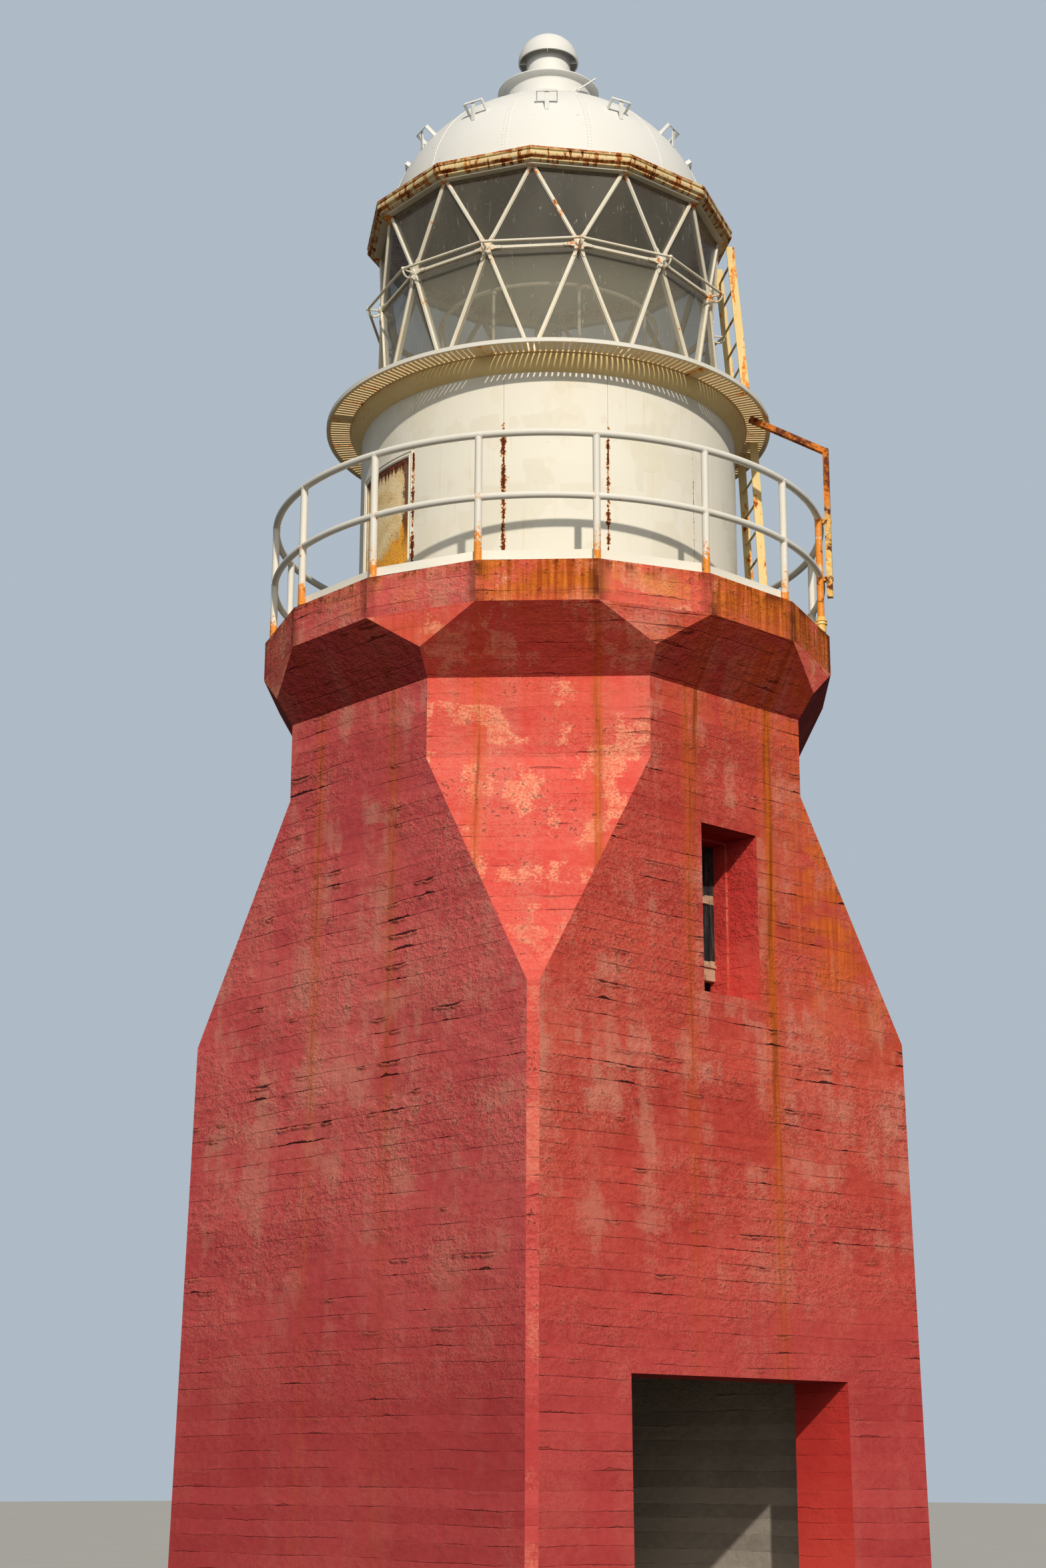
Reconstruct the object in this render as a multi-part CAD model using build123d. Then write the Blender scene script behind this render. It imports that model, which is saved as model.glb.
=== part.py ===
from build123d import *
import math
import os

# A small concrete lighthouse with a glazed lantern on top.
# Millimetres. The origin is on the tower's axis at ground level and +Z is up.
# Each storey's height is given as a rise on the one below, so that what stands on it follows.
# The front, with the entrance and the window, faces -Y. Azimuths are degrees from +X.

# Concrete shaft
ground_half = 2154
knee_half = 2090
octagon_half = 2080
chamfer_width = 92
knee_height = 5012
broach_rise = 1899
octagon_height = knee_height + broach_rise
octagon_rise = 647
corbel_height = octagon_height + octagon_rise
room_half = 1580
floor_thickness = 150
threshold_setback = 14

# Entrance and window in the front wall
entrance_width = 2340
entrance_height = 2300
window_width = 630
window_sill_rise = 143
window_sill = knee_height + window_sill_rise
window_height = 1330
window_head = window_sill + window_height
window_outer_reveal = 326
window_step = 25
frame_setback = 453
frame_rise = 214
frame_bottom = window_sill + frame_rise
frame_face = 45
window_board_height = 107
sash_rail = 57
meeting_rail = 66
meeting_rail_rise = 660
meeting_rail_height = frame_bottom + meeting_rail_rise
sash_depth = 35
window_glass_thickness = 4

# Gallery deck, kerb and railing
deck_sides = 16
deck_apothem = 2390
corbel_rise = 519
deck_bottom = corbel_height + corbel_rise
deck_thickness = 336
deck_top = deck_bottom + deck_thickness
kerb_post_gap = 2
kerb_width = 80
kerb_height = 115
kerb_joint = 2
railing_inset = 66
railing_tube = 30
mid_rail_tube = 28
top_rail_height = 1070
mid_rail_height = 543
top_rail_joint = 1

# Drum, its door and the slotted catwalk round the lantern
drum_radius = 1647
drum_plate = 16
drum_plates = 12
drum_seam_turn = 4.3
door_plate_index = 5
door_height = 1317
door_sill = 60
door_bottom = deck_top + door_sill
door_head = door_bottom + door_height
door_frame_width = 60
door_frame_proud = 12
door_leaf_thickness = 30
drum_height = 2029
drum_top = deck_top + drum_height
lantern_floor_thickness = 40
lantern_floor_top = drum_top + lantern_floor_thickness
cove_height = 132
cove_reach = 98
cove_radius = drum_radius + cove_reach
cove_hollow = 150
cove_thickness = 14
catwalk_overhang = 205
catwalk_radius = cove_radius + catwalk_overhang
catwalk_seat = 55
catwalk_plate = 12
catwalk_top = lantern_floor_top
catwalk_bottom = catwalk_top - catwalk_plate
cove_bottom = catwalk_bottom - cove_height
cove_lip = catwalk_bottom - cove_thickness
catwalk_panels = 6
catwalk_joint_azimuth = 30
catwalk_joint_gap = 4
slots_left_out_at_joints = 3
slots_per_panel = 37
slot_width = 17
slot_inner_margin = 12
slot_inner_radius = cove_radius + slot_inner_margin
slot_outer_margin = 25
slot_outer_radius = catwalk_radius - slot_outer_margin
catwalk_rim_width = 12
catwalk_rim_drop = 9
catwalk_rim_rise = 14

# Lantern: a triangulated lattice of twelve bays
bays = 12
lantern_turn = 11.9
node_inset = 97
node_radius = drum_radius - node_inset
mid_node_inset = 35
mid_node_radius = node_radius - mid_node_inset
mid_node_rise = 1108
mid_node_height = lantern_floor_top + mid_node_rise
lantern_height = 1848
head_top = lantern_floor_top + lantern_height
head_height = 40
head_bottom = head_top - head_height
top_node_drop = 4
top_node_height = head_top - top_node_drop
sill_height = 50
sill_top = lantern_floor_top + sill_height
sill_outer_margin = 50
sill_outer_radius = node_radius + sill_outer_margin
sill_inner_margin = 60
sill_inner_radius = node_radius - sill_inner_margin
bar_width = 36
bar_depth = 50
glass_thickness = 8
glass_setback = 14
handrail_offset = 111
handrail_radius = mid_node_radius + handrail_offset
handrail_tube = 12
hook_tube = 9

# Cornice, dome and vent
cornice_overhang = 64
cornice_radius = sill_outer_radius + cornice_overhang
cornice_height = 95
cornice_top = head_top + cornice_height
cornice_deck_thickness = 54
cornice_deck = head_top + cornice_deck_thickness
cornice_lip = 36
cornice_inner_margin = 110
cornice_inner_radius = sill_inner_radius - cornice_inner_margin
cornice_step = 26
cornice_step_inset = 32
dome_inset = 212
dome_radius = cornice_radius - dome_inset
dome_base = cornice_deck
dome_rise = 1302
dome_crown = dome_base + dome_rise
dome_sheet = 6
dome_gores = 12
dome_seam_turn = 1.5
dome_seam_gap = 1.5
bracket_width = 185
bracket_standoff = 108
bracket_strip = 8
bracket_strip_width = 38
bracket_inset = 240
bracket_radius = dome_radius - bracket_inset
bracket_foot_offset = 78
bracket_foot_radius = bracket_radius + bracket_foot_offset
collar_radius = 409
collar_rise = 162
collar_top = dome_crown + collar_rise
flange_overhang = 57
flange_radius = collar_radius + flange_overhang
flange_rise = 48
flange_height = collar_top + flange_rise
neck_radius = 205
neck_height = 340
shoulder_rise = 64
neck_shoulder = flange_height + shoulder_rise
neck_top = neck_shoulder + neck_height
vent_cap_overhang = 73
vent_cap_radius = neck_radius + vent_cap_overhang
vent_cap_drop = 75
vent_sheet = 6
vent_stays = 4
stay_width = 30
rod_radius = 8
rod_base_azimuth = 266
rod_base_drop = 91
rod_base_height = collar_top - rod_base_drop
rod_tip_azimuth = 285
rod_tip_offset = 102
rod_tip_radius = collar_radius + rod_tip_offset
rod_tip_rise = 151
rod_tip_height = rod_base_height + rod_tip_rise

# Ladders and the clamped bracket beside the railing
ladder_bay = 10
ladder_width = 450
ladder_flat = 75
ladder_flat_thickness = 10
rung_radius = 10
rung_pitch = 250
lower_ladder_foot_inset = 44
lower_ladder_foot_radius = catwalk_radius - lower_ladder_foot_inset
lower_ladder_head_inset = 131
lower_ladder_head_radius = catwalk_radius - lower_ladder_head_inset
upper_ladder_foot_inset = 153
upper_ladder_foot_radius = catwalk_radius - upper_ladder_foot_inset
upper_ladder_head_inset = 24
upper_ladder_head_radius = cornice_radius - upper_ladder_head_inset
ladder_seat_gap = 0.3
upper_ladder_drop = 4
upper_ladder_top = cornice_deck - upper_ladder_drop
brace_azimuth = 305.6
brace_offset = 75
brace_bar = 50
brace_inner_azimuth = 302.4
brace_inner_inset = 140
brace_inner_radius = catwalk_radius - brace_inner_inset
brace_elbow_drop = 344
brace_elbow_height = catwalk_bottom - brace_elbow_drop
brace_bottom_rise = 377
brace_bottom = deck_top + brace_bottom_rise
clamp_height = 40

# The light inside the lantern
lamp_radius = 110
lamp_base_radius = 122
pedestal_height = 938
lamp_base_bottom = lantern_floor_top + pedestal_height
lamp_base_height = 125
lamp_base_top = lamp_base_bottom + lamp_base_height
lamp_height = 147
lamp_top = lamp_base_top + lamp_height
pedestal_radius = 90
pedestal_foot_radius = 190
pedestal_foot_height = 20
guard_radius = 970
guard_height = 1002
guard_tube = 17
guard_post_radius = 14
guard_posts = 8
guard_turn = 18

# Working allowance for cutters, so that they pass right through
beyond = 400

quarter_turn = 90
half_turn_of_octagon = 22.5


def polar(radius, azimuth, height):
    """Point at a radius, azimuth in degrees and height."""
    angle = math.radians(azimuth)
    return Vector(radius * math.cos(angle), radius * math.sin(angle), height)


def block(x_low, x_high, y_low, y_high, z_low, z_high):
    """Box between two corners."""
    middle = Pos((x_low + x_high) / 2, (y_low + y_high) / 2, (z_low + z_high) / 2)
    return middle * Box(x_high - x_low, y_high - y_low, z_high - z_low)


def frustum(sides, turn, z_low, apothem_low, z_high, apothem_high):
    """Many-sided block with level ends and flat sides; turn is the azimuth of one side's middle."""
    share = math.cos(math.radians(180 / sides))
    corners = [turn + 360 / sides * (index + 0.5) for index in range(sides)]
    low = [polar(apothem_low / share, azimuth, z_low) for azimuth in corners]
    high = [polar(apothem_high / share, azimuth, z_high) for azimuth in corners]
    outlines = [low, high]
    outlines += [[low[index - 1], low[index], high[index], high[index - 1]] for index in range(sides)]
    return Solid(Shell([Face(Wire.make_polygon(outline)) for outline in outlines]))


def prism(sides, turn, apothem, z_low, z_high):
    """Upright many-sided block; turn is the azimuth of one side's middle."""
    outline = RegularPolygon(apothem, sides, major_radius=False, rotation=turn + 180 / sides)
    return Pos(0, 0, z_low) * extrude(outline, z_high - z_low)


def wedge(azimuth, half_angle, reach, z_low, z_high):
    """Upright slice of the plan between two planes through the axis."""
    side = reach * math.tan(math.radians(half_angle))
    outline = Polygon((0, 0), (reach, -side), (reach, side), align=None)
    return Rot(0, 0, azimuth) * (Pos(0, 0, z_low) * extrude(outline, z_high - z_low))


def ring_cut(radius_in, radius_out, z_low, z_high):
    """Plain round ring."""
    solid = Cylinder(radius_out, z_high - z_low) - Cylinder(radius_in, z_high - z_low)
    return Pos(0, 0, (z_low + z_high) / 2) * solid


def turned(points):
    """Solid of revolution from a closed outline of (radius, height) points."""
    outline = Plane.XZ * Polygon(*points, align=None)
    return revolve(outline, Axis.Z)


def rod(start, end, radius):
    """Round bar between two points."""
    line = end - start
    return Plane(origin=start, z_dir=line) * extrude(Circle(radius), line.length)


def flat_bar(start, end, width, depth, outward):
    """Rectangular bar between two points; its depth lies along the outward direction."""
    line = end - start
    along = line.normalized()
    across = outward - along * outward.dot(along)
    frame = Plane(origin=(start + end) / 2, x_dir=across, z_dir=line)
    return frame * Box(depth, width, line.length)


def largest(shape):
    """The biggest solid of a cut shape."""
    return max(shape.solids(), key=lambda solid: solid.volume)


def corner_cut(half):
    """Distance from the axis to the plane that cuts the corner of a square shaft."""
    return half * math.sqrt(2) - chamfer_width / 2


# Shaft, from the ground to the gallery
lower_shaft = frustum(4, 0, 0, ground_half, knee_height, knee_half)
lower_shaft &= frustum(4, 45, 0, corner_cut(ground_half), knee_height, corner_cut(knee_half))
lower_shaft -= block(-room_half, room_half, -room_half, room_half, -1, knee_height + 1)

broach = frustum(4, 0, knee_height, knee_half, octagon_height, octagon_half)
broach &= frustum(4, 45, knee_height, corner_cut(knee_half), octagon_height, octagon_half)
broach_room = frustum(4, 45, knee_height, room_half * math.sqrt(2), octagon_height, room_half)
broach_room &= block(-room_half, room_half, -room_half, room_half, knee_height, octagon_height)
broach -= broach_room

reach = 2 * ground_half
left_wall = lower_shaft & block(-reach, -room_half, -room_half, room_half, 0, knee_height)
right_wall = lower_shaft & block(room_half, reach, -room_half, room_half, 0, knee_height)
back_wall = lower_shaft & block(-reach, reach, room_half, reach, 0, knee_height)
front_wall = lower_shaft & block(-reach, reach, -reach, -room_half, 0, knee_height)
entrance_half = entrance_width / 2
front_wall_left = front_wall & block(-reach, -entrance_half, -reach, 0, 0, entrance_height)
front_wall_right = front_wall & block(entrance_half, reach, -reach, 0, 0, entrance_height)
front_wall_over_entrance = front_wall & block(-reach, reach, -reach, 0, entrance_height, knee_height)
ground_floor = block(-room_half, room_half, -room_half, room_half, 0, floor_thickness)
ground_floor += block(-entrance_half, entrance_half, threshold_setback - ground_half, -room_half,
                      0, floor_thickness)


def shaft_slice(azimuth):
    """Part of the broached stage on one of its eight sides."""
    return broach & wedge(azimuth, half_turn_of_octagon, reach, knee_height, octagon_height)


window_half = window_width / 2
reveal_back = window_outer_reveal - knee_half
outer_reveal = block(-window_half, window_half, -reach, reveal_back, window_sill, window_head)
inner_half = window_half - window_step
inner_head = window_head - window_step
inner_reveal = block(-inner_half, inner_half, -reach, 0, window_sill, inner_head)
upper_front_wall = shaft_slice(-quarter_turn) - outer_reveal - inner_reveal
upper_side_walls = [shaft_slice(quarter_turn * index) for index in range(3)]
broach_corners = [shaft_slice(quarter_turn * (index + 0.5)) for index in range(4)]

deck_block = prism(deck_sides, 0, deck_apothem, corbel_height, deck_bottom)
octagon_corbel = prism(8, 0, octagon_half, octagon_height, corbel_height)
octagon_corbel += frustum(8, 0, corbel_height, octagon_half, deck_bottom, deck_apothem) & deck_block
octagon_corbel -= prism(8, 0, room_half, octagon_height - 1, deck_bottom + 1)
gallery_deck = prism(deck_sides, 0, deck_apothem, deck_bottom, deck_top)

# Window: an outer frame with a bottom board, two sashes and two panes
frame_face_y = frame_setback - knee_half
frame_back_y = -room_half
frame_top = inner_head
window_frame = block(-inner_half, inner_half, frame_face_y, frame_back_y, frame_bottom, frame_top)
frame_inner_half = inner_half - frame_face
board_top = frame_bottom + window_board_height
frame_clear_top = frame_top - frame_face
window_frame -= block(-frame_inner_half, frame_inner_half, -reach, 0, board_top, frame_clear_top)
sash_middle_y = (frame_face_y + frame_back_y) / 2


def sash(z_low, z_high, y_low):
    """One sash with its pane's opening, rails above and below and stiles beside it."""
    body = block(-frame_inner_half, frame_inner_half, y_low, y_low + sash_depth / 2, z_low, z_high)
    clear_half = frame_inner_half - frame_face
    return body - block(-clear_half, clear_half, -reach, 0, z_low + sash_rail, z_high - sash_rail)


meeting_top = meeting_rail_height + meeting_rail / 2
meeting_bottom = meeting_rail_height - meeting_rail / 2
lower_sash = sash(board_top, meeting_top, sash_middle_y)
upper_sash = sash(meeting_bottom, frame_clear_top, sash_middle_y - sash_depth / 2)


def sash_pane(z_low, z_high, y_low):
    """The pane that fills one sash."""
    clear_half = frame_inner_half - frame_face
    middle = y_low + sash_depth / 4
    half_pane = window_glass_thickness / 2
    return block(-clear_half, clear_half, middle - half_pane, middle + half_pane,
                 z_low + sash_rail, z_high - sash_rail)


lower_pane = sash_pane(board_top, meeting_top, sash_middle_y)
upper_pane = sash_pane(meeting_bottom, frame_clear_top, sash_middle_y - sash_depth / 2)

# Kerb and railing round the gallery
# The posts stand in from the deck's corners, and the kerb's mitred lengths run inside them.
post_step = 360 / deck_sides
post_share = math.cos(math.radians(post_step / 2))
railing_radius = deck_apothem / post_share - railing_inset
kerb_apothem = (railing_radius - railing_tube - kerb_post_gap) * post_share
kerb_top = deck_top + kerb_height
kerb_ring = prism(deck_sides, 0, kerb_apothem, deck_top, kerb_top)
kerb_ring -= prism(deck_sides, 0, kerb_apothem - kerb_width, deck_top - 1, kerb_top + 1)


def joint_angle(gap, radius):
    """Half the angle that a joint takes up at a radius."""
    return math.degrees(gap / 2 / radius)


kerb_half_angle = post_step / 2 - joint_angle(kerb_joint, railing_radius)
kerb_length = kerb_ring & wedge(0, kerb_half_angle, reach, deck_top, kerb_top)
kerb = [Rot(0, 0, post_step * index) * kerb_length for index in range(deck_sides)]
top_rail_centre = deck_top + top_rail_height
mid_rail_centre = deck_top + mid_rail_height
top_rail = Pos(0, 0, top_rail_centre) * Torus(railing_radius, railing_tube)
mid_ring = Pos(0, 0, mid_rail_centre) * Torus(railing_radius, mid_rail_tube)


def full_post(azimuth):
    """Upright tube from the deck to the middle of the top rail."""
    foot = polar(railing_radius, azimuth, deck_top)
    return rod(foot, foot + Vector(0, 0, top_rail_height), railing_tube)


post = largest(full_post(post_step / 2) - top_rail)
post_pair = [full_post(post_step / 2), full_post(post_step * 1.5)]
span = mid_ring & wedge(post_step, post_step / 2, reach, deck_top, top_rail_centre)
span = largest(span - post_pair[0] - post_pair[1])
posts = [Rot(0, 0, post_step * index) * post for index in range(deck_sides)]
top_half_angle = post_step / 2 - joint_angle(top_rail_joint, railing_radius)
top_reach = top_rail_centre + railing_tube
top_length = top_rail & wedge(post_step, top_half_angle, reach, deck_top, top_reach)
top_lengths = [Rot(0, 0, post_step * index) * top_length for index in range(deck_sides)]
mid_rail = [Rot(0, 0, post_step * index) * span for index in range(deck_sides)]

# Drum of curved plates, with a door in one of them
plate_angle = 360 / drum_plates
drum_shell = ring_cut(drum_radius - drum_plate, drum_radius, deck_top, drum_top)


def drum_slice(index):
    """One plate of the drum."""
    middle = drum_seam_turn + plate_angle * (index + 0.5)
    return drum_shell & wedge(middle, plate_angle / 2, reach, deck_top, drum_top)


door_azimuth = drum_seam_turn + plate_angle * (door_plate_index + 0.5)
frame_angle = math.degrees(door_frame_width / drum_radius)
door_half_angle = plate_angle / 2 - frame_angle
door_wedge = wedge(door_azimuth, door_half_angle, reach, door_bottom, door_head)
frame_wedge = wedge(door_azimuth, plate_angle / 2, reach, deck_top, door_head + door_frame_width)
door_frame = ring_cut(drum_radius - drum_plate - door_leaf_thickness, drum_radius + door_frame_proud,
                      deck_top, door_head + door_frame_width)
door_frame = (door_frame & frame_wedge) - door_wedge
drum_door = ring_cut(drum_radius - door_leaf_thickness, drum_radius, door_bottom, door_head) & door_wedge
plates_even = [drum_slice(index) for index in range(0, drum_plates, 2)]
plates_odd = [drum_slice(index) for index in range(1, drum_plates, 2)]
plates_odd = [plate - frame_wedge if index == door_plate_index // 2 else plate
              for index, plate in enumerate(plates_odd)]

# Cove under the catwalk, the slotted panels and their rim
with BuildPart() as cove_part:
    with BuildSketch(Plane.XZ):
        with BuildLine():
            Line((drum_radius, catwalk_bottom), (drum_radius, cove_bottom))
            RadiusArc((drum_radius, cove_bottom), (cove_radius, cove_lip), -cove_hollow)
            Line((cove_radius, cove_lip), (cove_radius, catwalk_bottom))
            Line((cove_radius, catwalk_bottom), (drum_radius, catwalk_bottom))
        make_face()
    revolve(axis=Axis.Z)
drum_cove = cove_part.part

panel_angle = 360 / catwalk_panels
panel_inner = cove_radius - catwalk_seat
panel_ring = ring_cut(panel_inner, catwalk_radius, catwalk_bottom, catwalk_top)
half_gap_angle = joint_angle(catwalk_joint_gap, catwalk_radius)
panel = panel_ring & wedge(0, panel_angle / 2 - half_gap_angle, reach, catwalk_bottom, catwalk_top)
slot_length = slot_outer_radius - slot_inner_radius
slot_pitch = panel_angle / (slots_per_panel + slots_left_out_at_joints)
slots = []
for index in range(slots_per_panel):
    azimuth = slot_pitch * (index - (slots_per_panel - 1) / 2)
    middle = polar((slot_inner_radius + slot_outer_radius) / 2, azimuth, (catwalk_bottom + catwalk_top) / 2)
    slots.append(Pos(*middle) * Rot(0, 0, azimuth) * Box(slot_length, slot_width, 2 * catwalk_plate))
panel -= slots
catwalk_grating = [Rot(0, 0, catwalk_joint_azimuth + panel_angle * (index + 0.5)) * panel
                   for index in range(catwalk_panels)]
rim_low = catwalk_bottom - catwalk_rim_drop
rim_high = catwalk_top + catwalk_rim_rise
catwalk_rim = ring_cut(catwalk_radius, catwalk_radius + catwalk_rim_width, rim_low, rim_high)

# Lantern floor, sill ring and head ring
lantern_floor_middle = (drum_top + lantern_floor_top) / 2
lantern_floor = Pos(0, 0, lantern_floor_middle) * Cylinder(drum_radius, lantern_floor_thickness)
corner_share = math.cos(math.radians(180 / bays))
side_turn = lantern_turn + 180 / bays
lantern_sill = prism(bays, side_turn, sill_outer_radius * corner_share, lantern_floor_top, sill_top)
lantern_sill -= prism(bays, side_turn, sill_inner_radius * corner_share, lantern_floor_top - 1, sill_top + 1)
lantern_head = prism(bays, side_turn, sill_outer_radius * corner_share, head_bottom, head_top)
lantern_head -= prism(bays, side_turn, sill_inner_radius * corner_share, head_bottom - 1, head_top + 1)

# The lattice: zigzags above and below a ring of level bars.
# One bay's bars and panes are made once and repeated round the axis.
bay_angle = 360 / bays
low_node = polar(node_radius, lantern_turn, sill_top)
top_node = polar(node_radius, lantern_turn, top_node_height)
mid_node = polar(mid_node_radius, lantern_turn + bay_angle / 2, mid_node_height)
next_low_node = polar(node_radius, lantern_turn + bay_angle, sill_top)
next_top_node = polar(node_radius, lantern_turn + bay_angle, top_node_height)
next_mid_node = polar(mid_node_radius, lantern_turn + bay_angle * 1.5, mid_node_height)


def lattice_bar(start, end):
    """One glazing bar, set so that its outer face is on the line between its nodes."""
    outward = Vector(start.X + end.X, start.Y + end.Y, 0).normalized()
    along = (end - start).normalized()
    run_on = along * (bar_width / 2)
    inset = outward * (bar_depth / 2)
    return flat_bar(start - run_on - inset, end + run_on - inset, bar_width, bar_depth, outward)


def round_the_lantern(piece, count=bays, first=0):
    """Copies of a piece in successive bays."""
    return [Rot(0, 0, bay_angle * index) * piece for index in range(first, first + count)]


bay_bars = [
    lattice_bar(top_node, mid_node),
    lattice_bar(mid_node, next_top_node),
    lattice_bar(low_node, mid_node),
    lattice_bar(mid_node, next_low_node),
    lattice_bar(mid_node, next_mid_node),
]
all_bars = [copy for bar in bay_bars for copy in round_the_lantern(bar)]
lattice_slab = block(-reach, reach, -reach, reach, sill_top, head_bottom)
lantern_lattice = (all_bars[0] + all_bars[1:]) & lattice_slab
near_bars = [copy for bar in bay_bars for copy in round_the_lantern(bar, 3, -1)]


def pane(first, second, third):
    """Triangular pane between three nodes, cut back to the faces of the bars round it."""
    normal = (second - first).cross(third - first).normalized()
    centre = (first + second + third) / 3
    if normal.dot(Vector(centre.X, centre.Y, 0)) < 0:
        normal = -normal
    back = normal * (-glass_setback)
    outline = Polyline(first + back, second + back, third + back, close=True)
    sheet = extrude(make_face(outline.edges()), amount=glass_thickness, dir=-normal)
    return largest((sheet & lattice_slab) - near_bars)


upper_panes = round_the_lantern(pane(top_node, next_top_node, mid_node))
upper_panes += round_the_lantern(pane(mid_node, next_mid_node, next_top_node))
lower_panes = round_the_lantern(pane(low_node, next_low_node, mid_node))
lower_panes += round_the_lantern(pane(mid_node, next_mid_node, next_low_node))

# Handrail round the lantern, on a curled hook at each middle node
rail_points = [polar(handrail_radius, lantern_turn + bay_angle * (index + 0.5), mid_node_height)
               for index in range(bays)]
handrail_runs = [rod(rail_points[index - 1], rail_points[index], handrail_tube) for index in range(bays)]
handrail_joints = [Pos(*point) * Sphere(handrail_tube) for point in rail_points]
handrail = handrail_runs[0] + handrail_runs[1:] + handrail_joints
hook_reach = (handrail_radius - mid_node_radius) / 2
hook_azimuth = lantern_turn + bay_angle / 2
hook_plane = Plane(origin=polar(mid_node_radius + hook_reach, hook_azimuth, mid_node_height - handrail_tube),
                   x_dir=polar(1, hook_azimuth, 0), z_dir=polar(1, hook_azimuth + 90, 0))
hook_arc = hook_plane * CenterArc((0, 0), hook_reach, 0, 180)
hook_section = Plane(origin=hook_arc @ 0, z_dir=hook_arc % 0) * Circle(hook_tube)
hook = largest(sweep(hook_section, path=hook_arc) - handrail_runs[:2] - handrail_joints[0] - near_bars)
hooks = round_the_lantern(hook)


def polygon_ring(radius_out, radius_in, z_low, z_high):
    """Twelve-sided ring between two heights, given by its corner radii."""
    outer = prism(bays, side_turn, radius_out * corner_share, z_low, z_high)
    return outer - prism(bays, side_turn, radius_in * corner_share, z_low - 1, z_high + 1)


# Cornice: a twelve-sided gutter over two steps
cornice = polygon_ring(cornice_radius, cornice_inner_radius, head_top, cornice_deck)
cornice += polygon_ring(cornice_radius, cornice_radius - cornice_lip, cornice_deck, cornice_top)
step_radius = sill_outer_radius + cornice_step_inset
cornice += polygon_ring(step_radius, sill_outer_radius, head_top - cornice_step, head_top)

# Dome of twelve thin gores over the cornice
with BuildPart() as dome_part:
    with BuildSketch(Plane.XZ):
        with BuildLine():
            EllipticalCenterArc((0, dome_base), dome_radius, dome_rise, start_angle=0, arc_size=90)
            Line((0, dome_crown), (0, dome_crown - dome_sheet))
            EllipticalCenterArc((0, dome_base), dome_radius - dome_sheet, dome_rise - dome_sheet,
                                start_angle=0, arc_size=90)
            Line((dome_radius - dome_sheet, dome_base), (dome_radius, dome_base))
        make_face()
    revolve(axis=Axis.Z)
dome = dome_part.part
vent_hole_radius = collar_radius - vent_sheet
dome -= Pos(0, 0, dome_crown) * Cylinder(vent_hole_radius, 2 * beyond)
gore_angle = 360 / dome_gores
gore_half_angle = gore_angle / 2 - joint_angle(dome_seam_gap, dome_radius)
gore = dome & wedge(0, gore_half_angle, reach, dome_base, dome_crown)
bracket_turn = dome_seam_turn + gore_angle / 2
gores = [Rot(0, 0, bracket_turn + gore_angle * index) * gore for index in range(dome_gores)]


def dome_height(radius):
    """Height of the dome's outer face at a radius."""
    return dome_base + dome_rise * math.sqrt(1 - (radius / dome_radius) ** 2)


dome_curve = EllipticalCenterArc((0, dome_base), dome_radius, dome_rise, start_angle=0, arc_size=90)
dome_outline = [dome_curve.edge(),
                Line((0, dome_crown), (0, dome_base)).edge(),
                Line((0, dome_base), (dome_radius, dome_base)).edge()]
dome_filled = revolve(Plane.XZ * make_face(dome_outline), Axis.Z)

# Strap brackets, one in the middle of each gore
slope_r = bracket_radius / dome_radius ** 2
slope_z = (dome_height(bracket_radius) - dome_base) / dome_rise ** 2
slope_length = math.hypot(slope_r, slope_z)


def grab_bracket(azimuth):
    """Flat-bar staple standing square off the dome, with a strap down its middle."""
    outward = polar(slope_r / slope_length, azimuth, slope_z / slope_length)
    sideways = polar(1, azimuth + 90, 0)
    foot = polar(bracket_radius, azimuth, dome_height(bracket_radius))
    half = (bracket_width - bracket_strip) / 2
    frame = Plane(origin=foot, x_dir=sideways, z_dir=outward)
    top = frame * Pos(0, 0, bracket_standoff - bracket_strip / 2)
    staple = top * Box(bracket_width, bracket_strip_width, bracket_strip)
    leg_length = bracket_standoff + dome_sheet * 3
    for side in (-half, half):
        leg = frame * Pos(side, 0, bracket_standoff - leg_length / 2)
        staple += leg * Box(bracket_strip, bracket_strip_width, leg_length)
    strap_top = foot + outward * (bracket_standoff - bracket_strip / 2)
    strap_foot = polar(bracket_foot_radius, azimuth, dome_height(bracket_foot_radius))
    staple += flat_bar(strap_top, strap_foot, bracket_strip_width, bracket_strip, outward)
    staple -= dome_filled
    return largest(staple)


first_bracket = grab_bracket(0)
grab_brackets = [Rot(0, 0, bracket_turn + gore_angle * index) * first_bracket for index in range(dome_gores)]

# Vent: collar with a flared lip, neck and a round cap on stays
collar_foot = dome_height(collar_radius) - vent_sheet
vent_stack = turned([
    (collar_radius - vent_sheet, collar_foot),
    (collar_radius, collar_foot),
    (collar_radius, collar_top),
    (flange_radius, flange_height),
    (flange_radius, flange_height + vent_sheet),
    (neck_radius + 3 * vent_sheet, neck_shoulder),
    (neck_radius, neck_shoulder + 3 * vent_sheet),
    (neck_radius, neck_top),
    (neck_radius - vent_sheet, neck_top),
    (neck_radius - vent_sheet, neck_shoulder),
    (flange_radius - 3 * vent_sheet, flange_height),
    (collar_radius - vent_sheet, collar_top + vent_sheet),
])
vent_stack -= dome_filled
vent_cap_height = neck_top - vent_cap_drop
with BuildPart() as cap_part:
    with BuildSketch(Plane.XZ):
        with BuildLine():
            CenterArc((0, vent_cap_height), vent_cap_radius, 0, 90)
            Line((0, vent_cap_height + vent_cap_radius), (0, vent_cap_height + vent_cap_radius - vent_sheet))
            CenterArc((0, vent_cap_height), vent_cap_radius - vent_sheet, 0, 90)
            Line((vent_cap_radius - vent_sheet, vent_cap_height), (vent_cap_radius, vent_cap_height))
        make_face()
    revolve(axis=Axis.Z)
vent_cap = cap_part.part
cap_inside = Pos(0, 0, vent_cap_height) * Sphere(vent_cap_radius - vent_sheet / 2)
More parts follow.
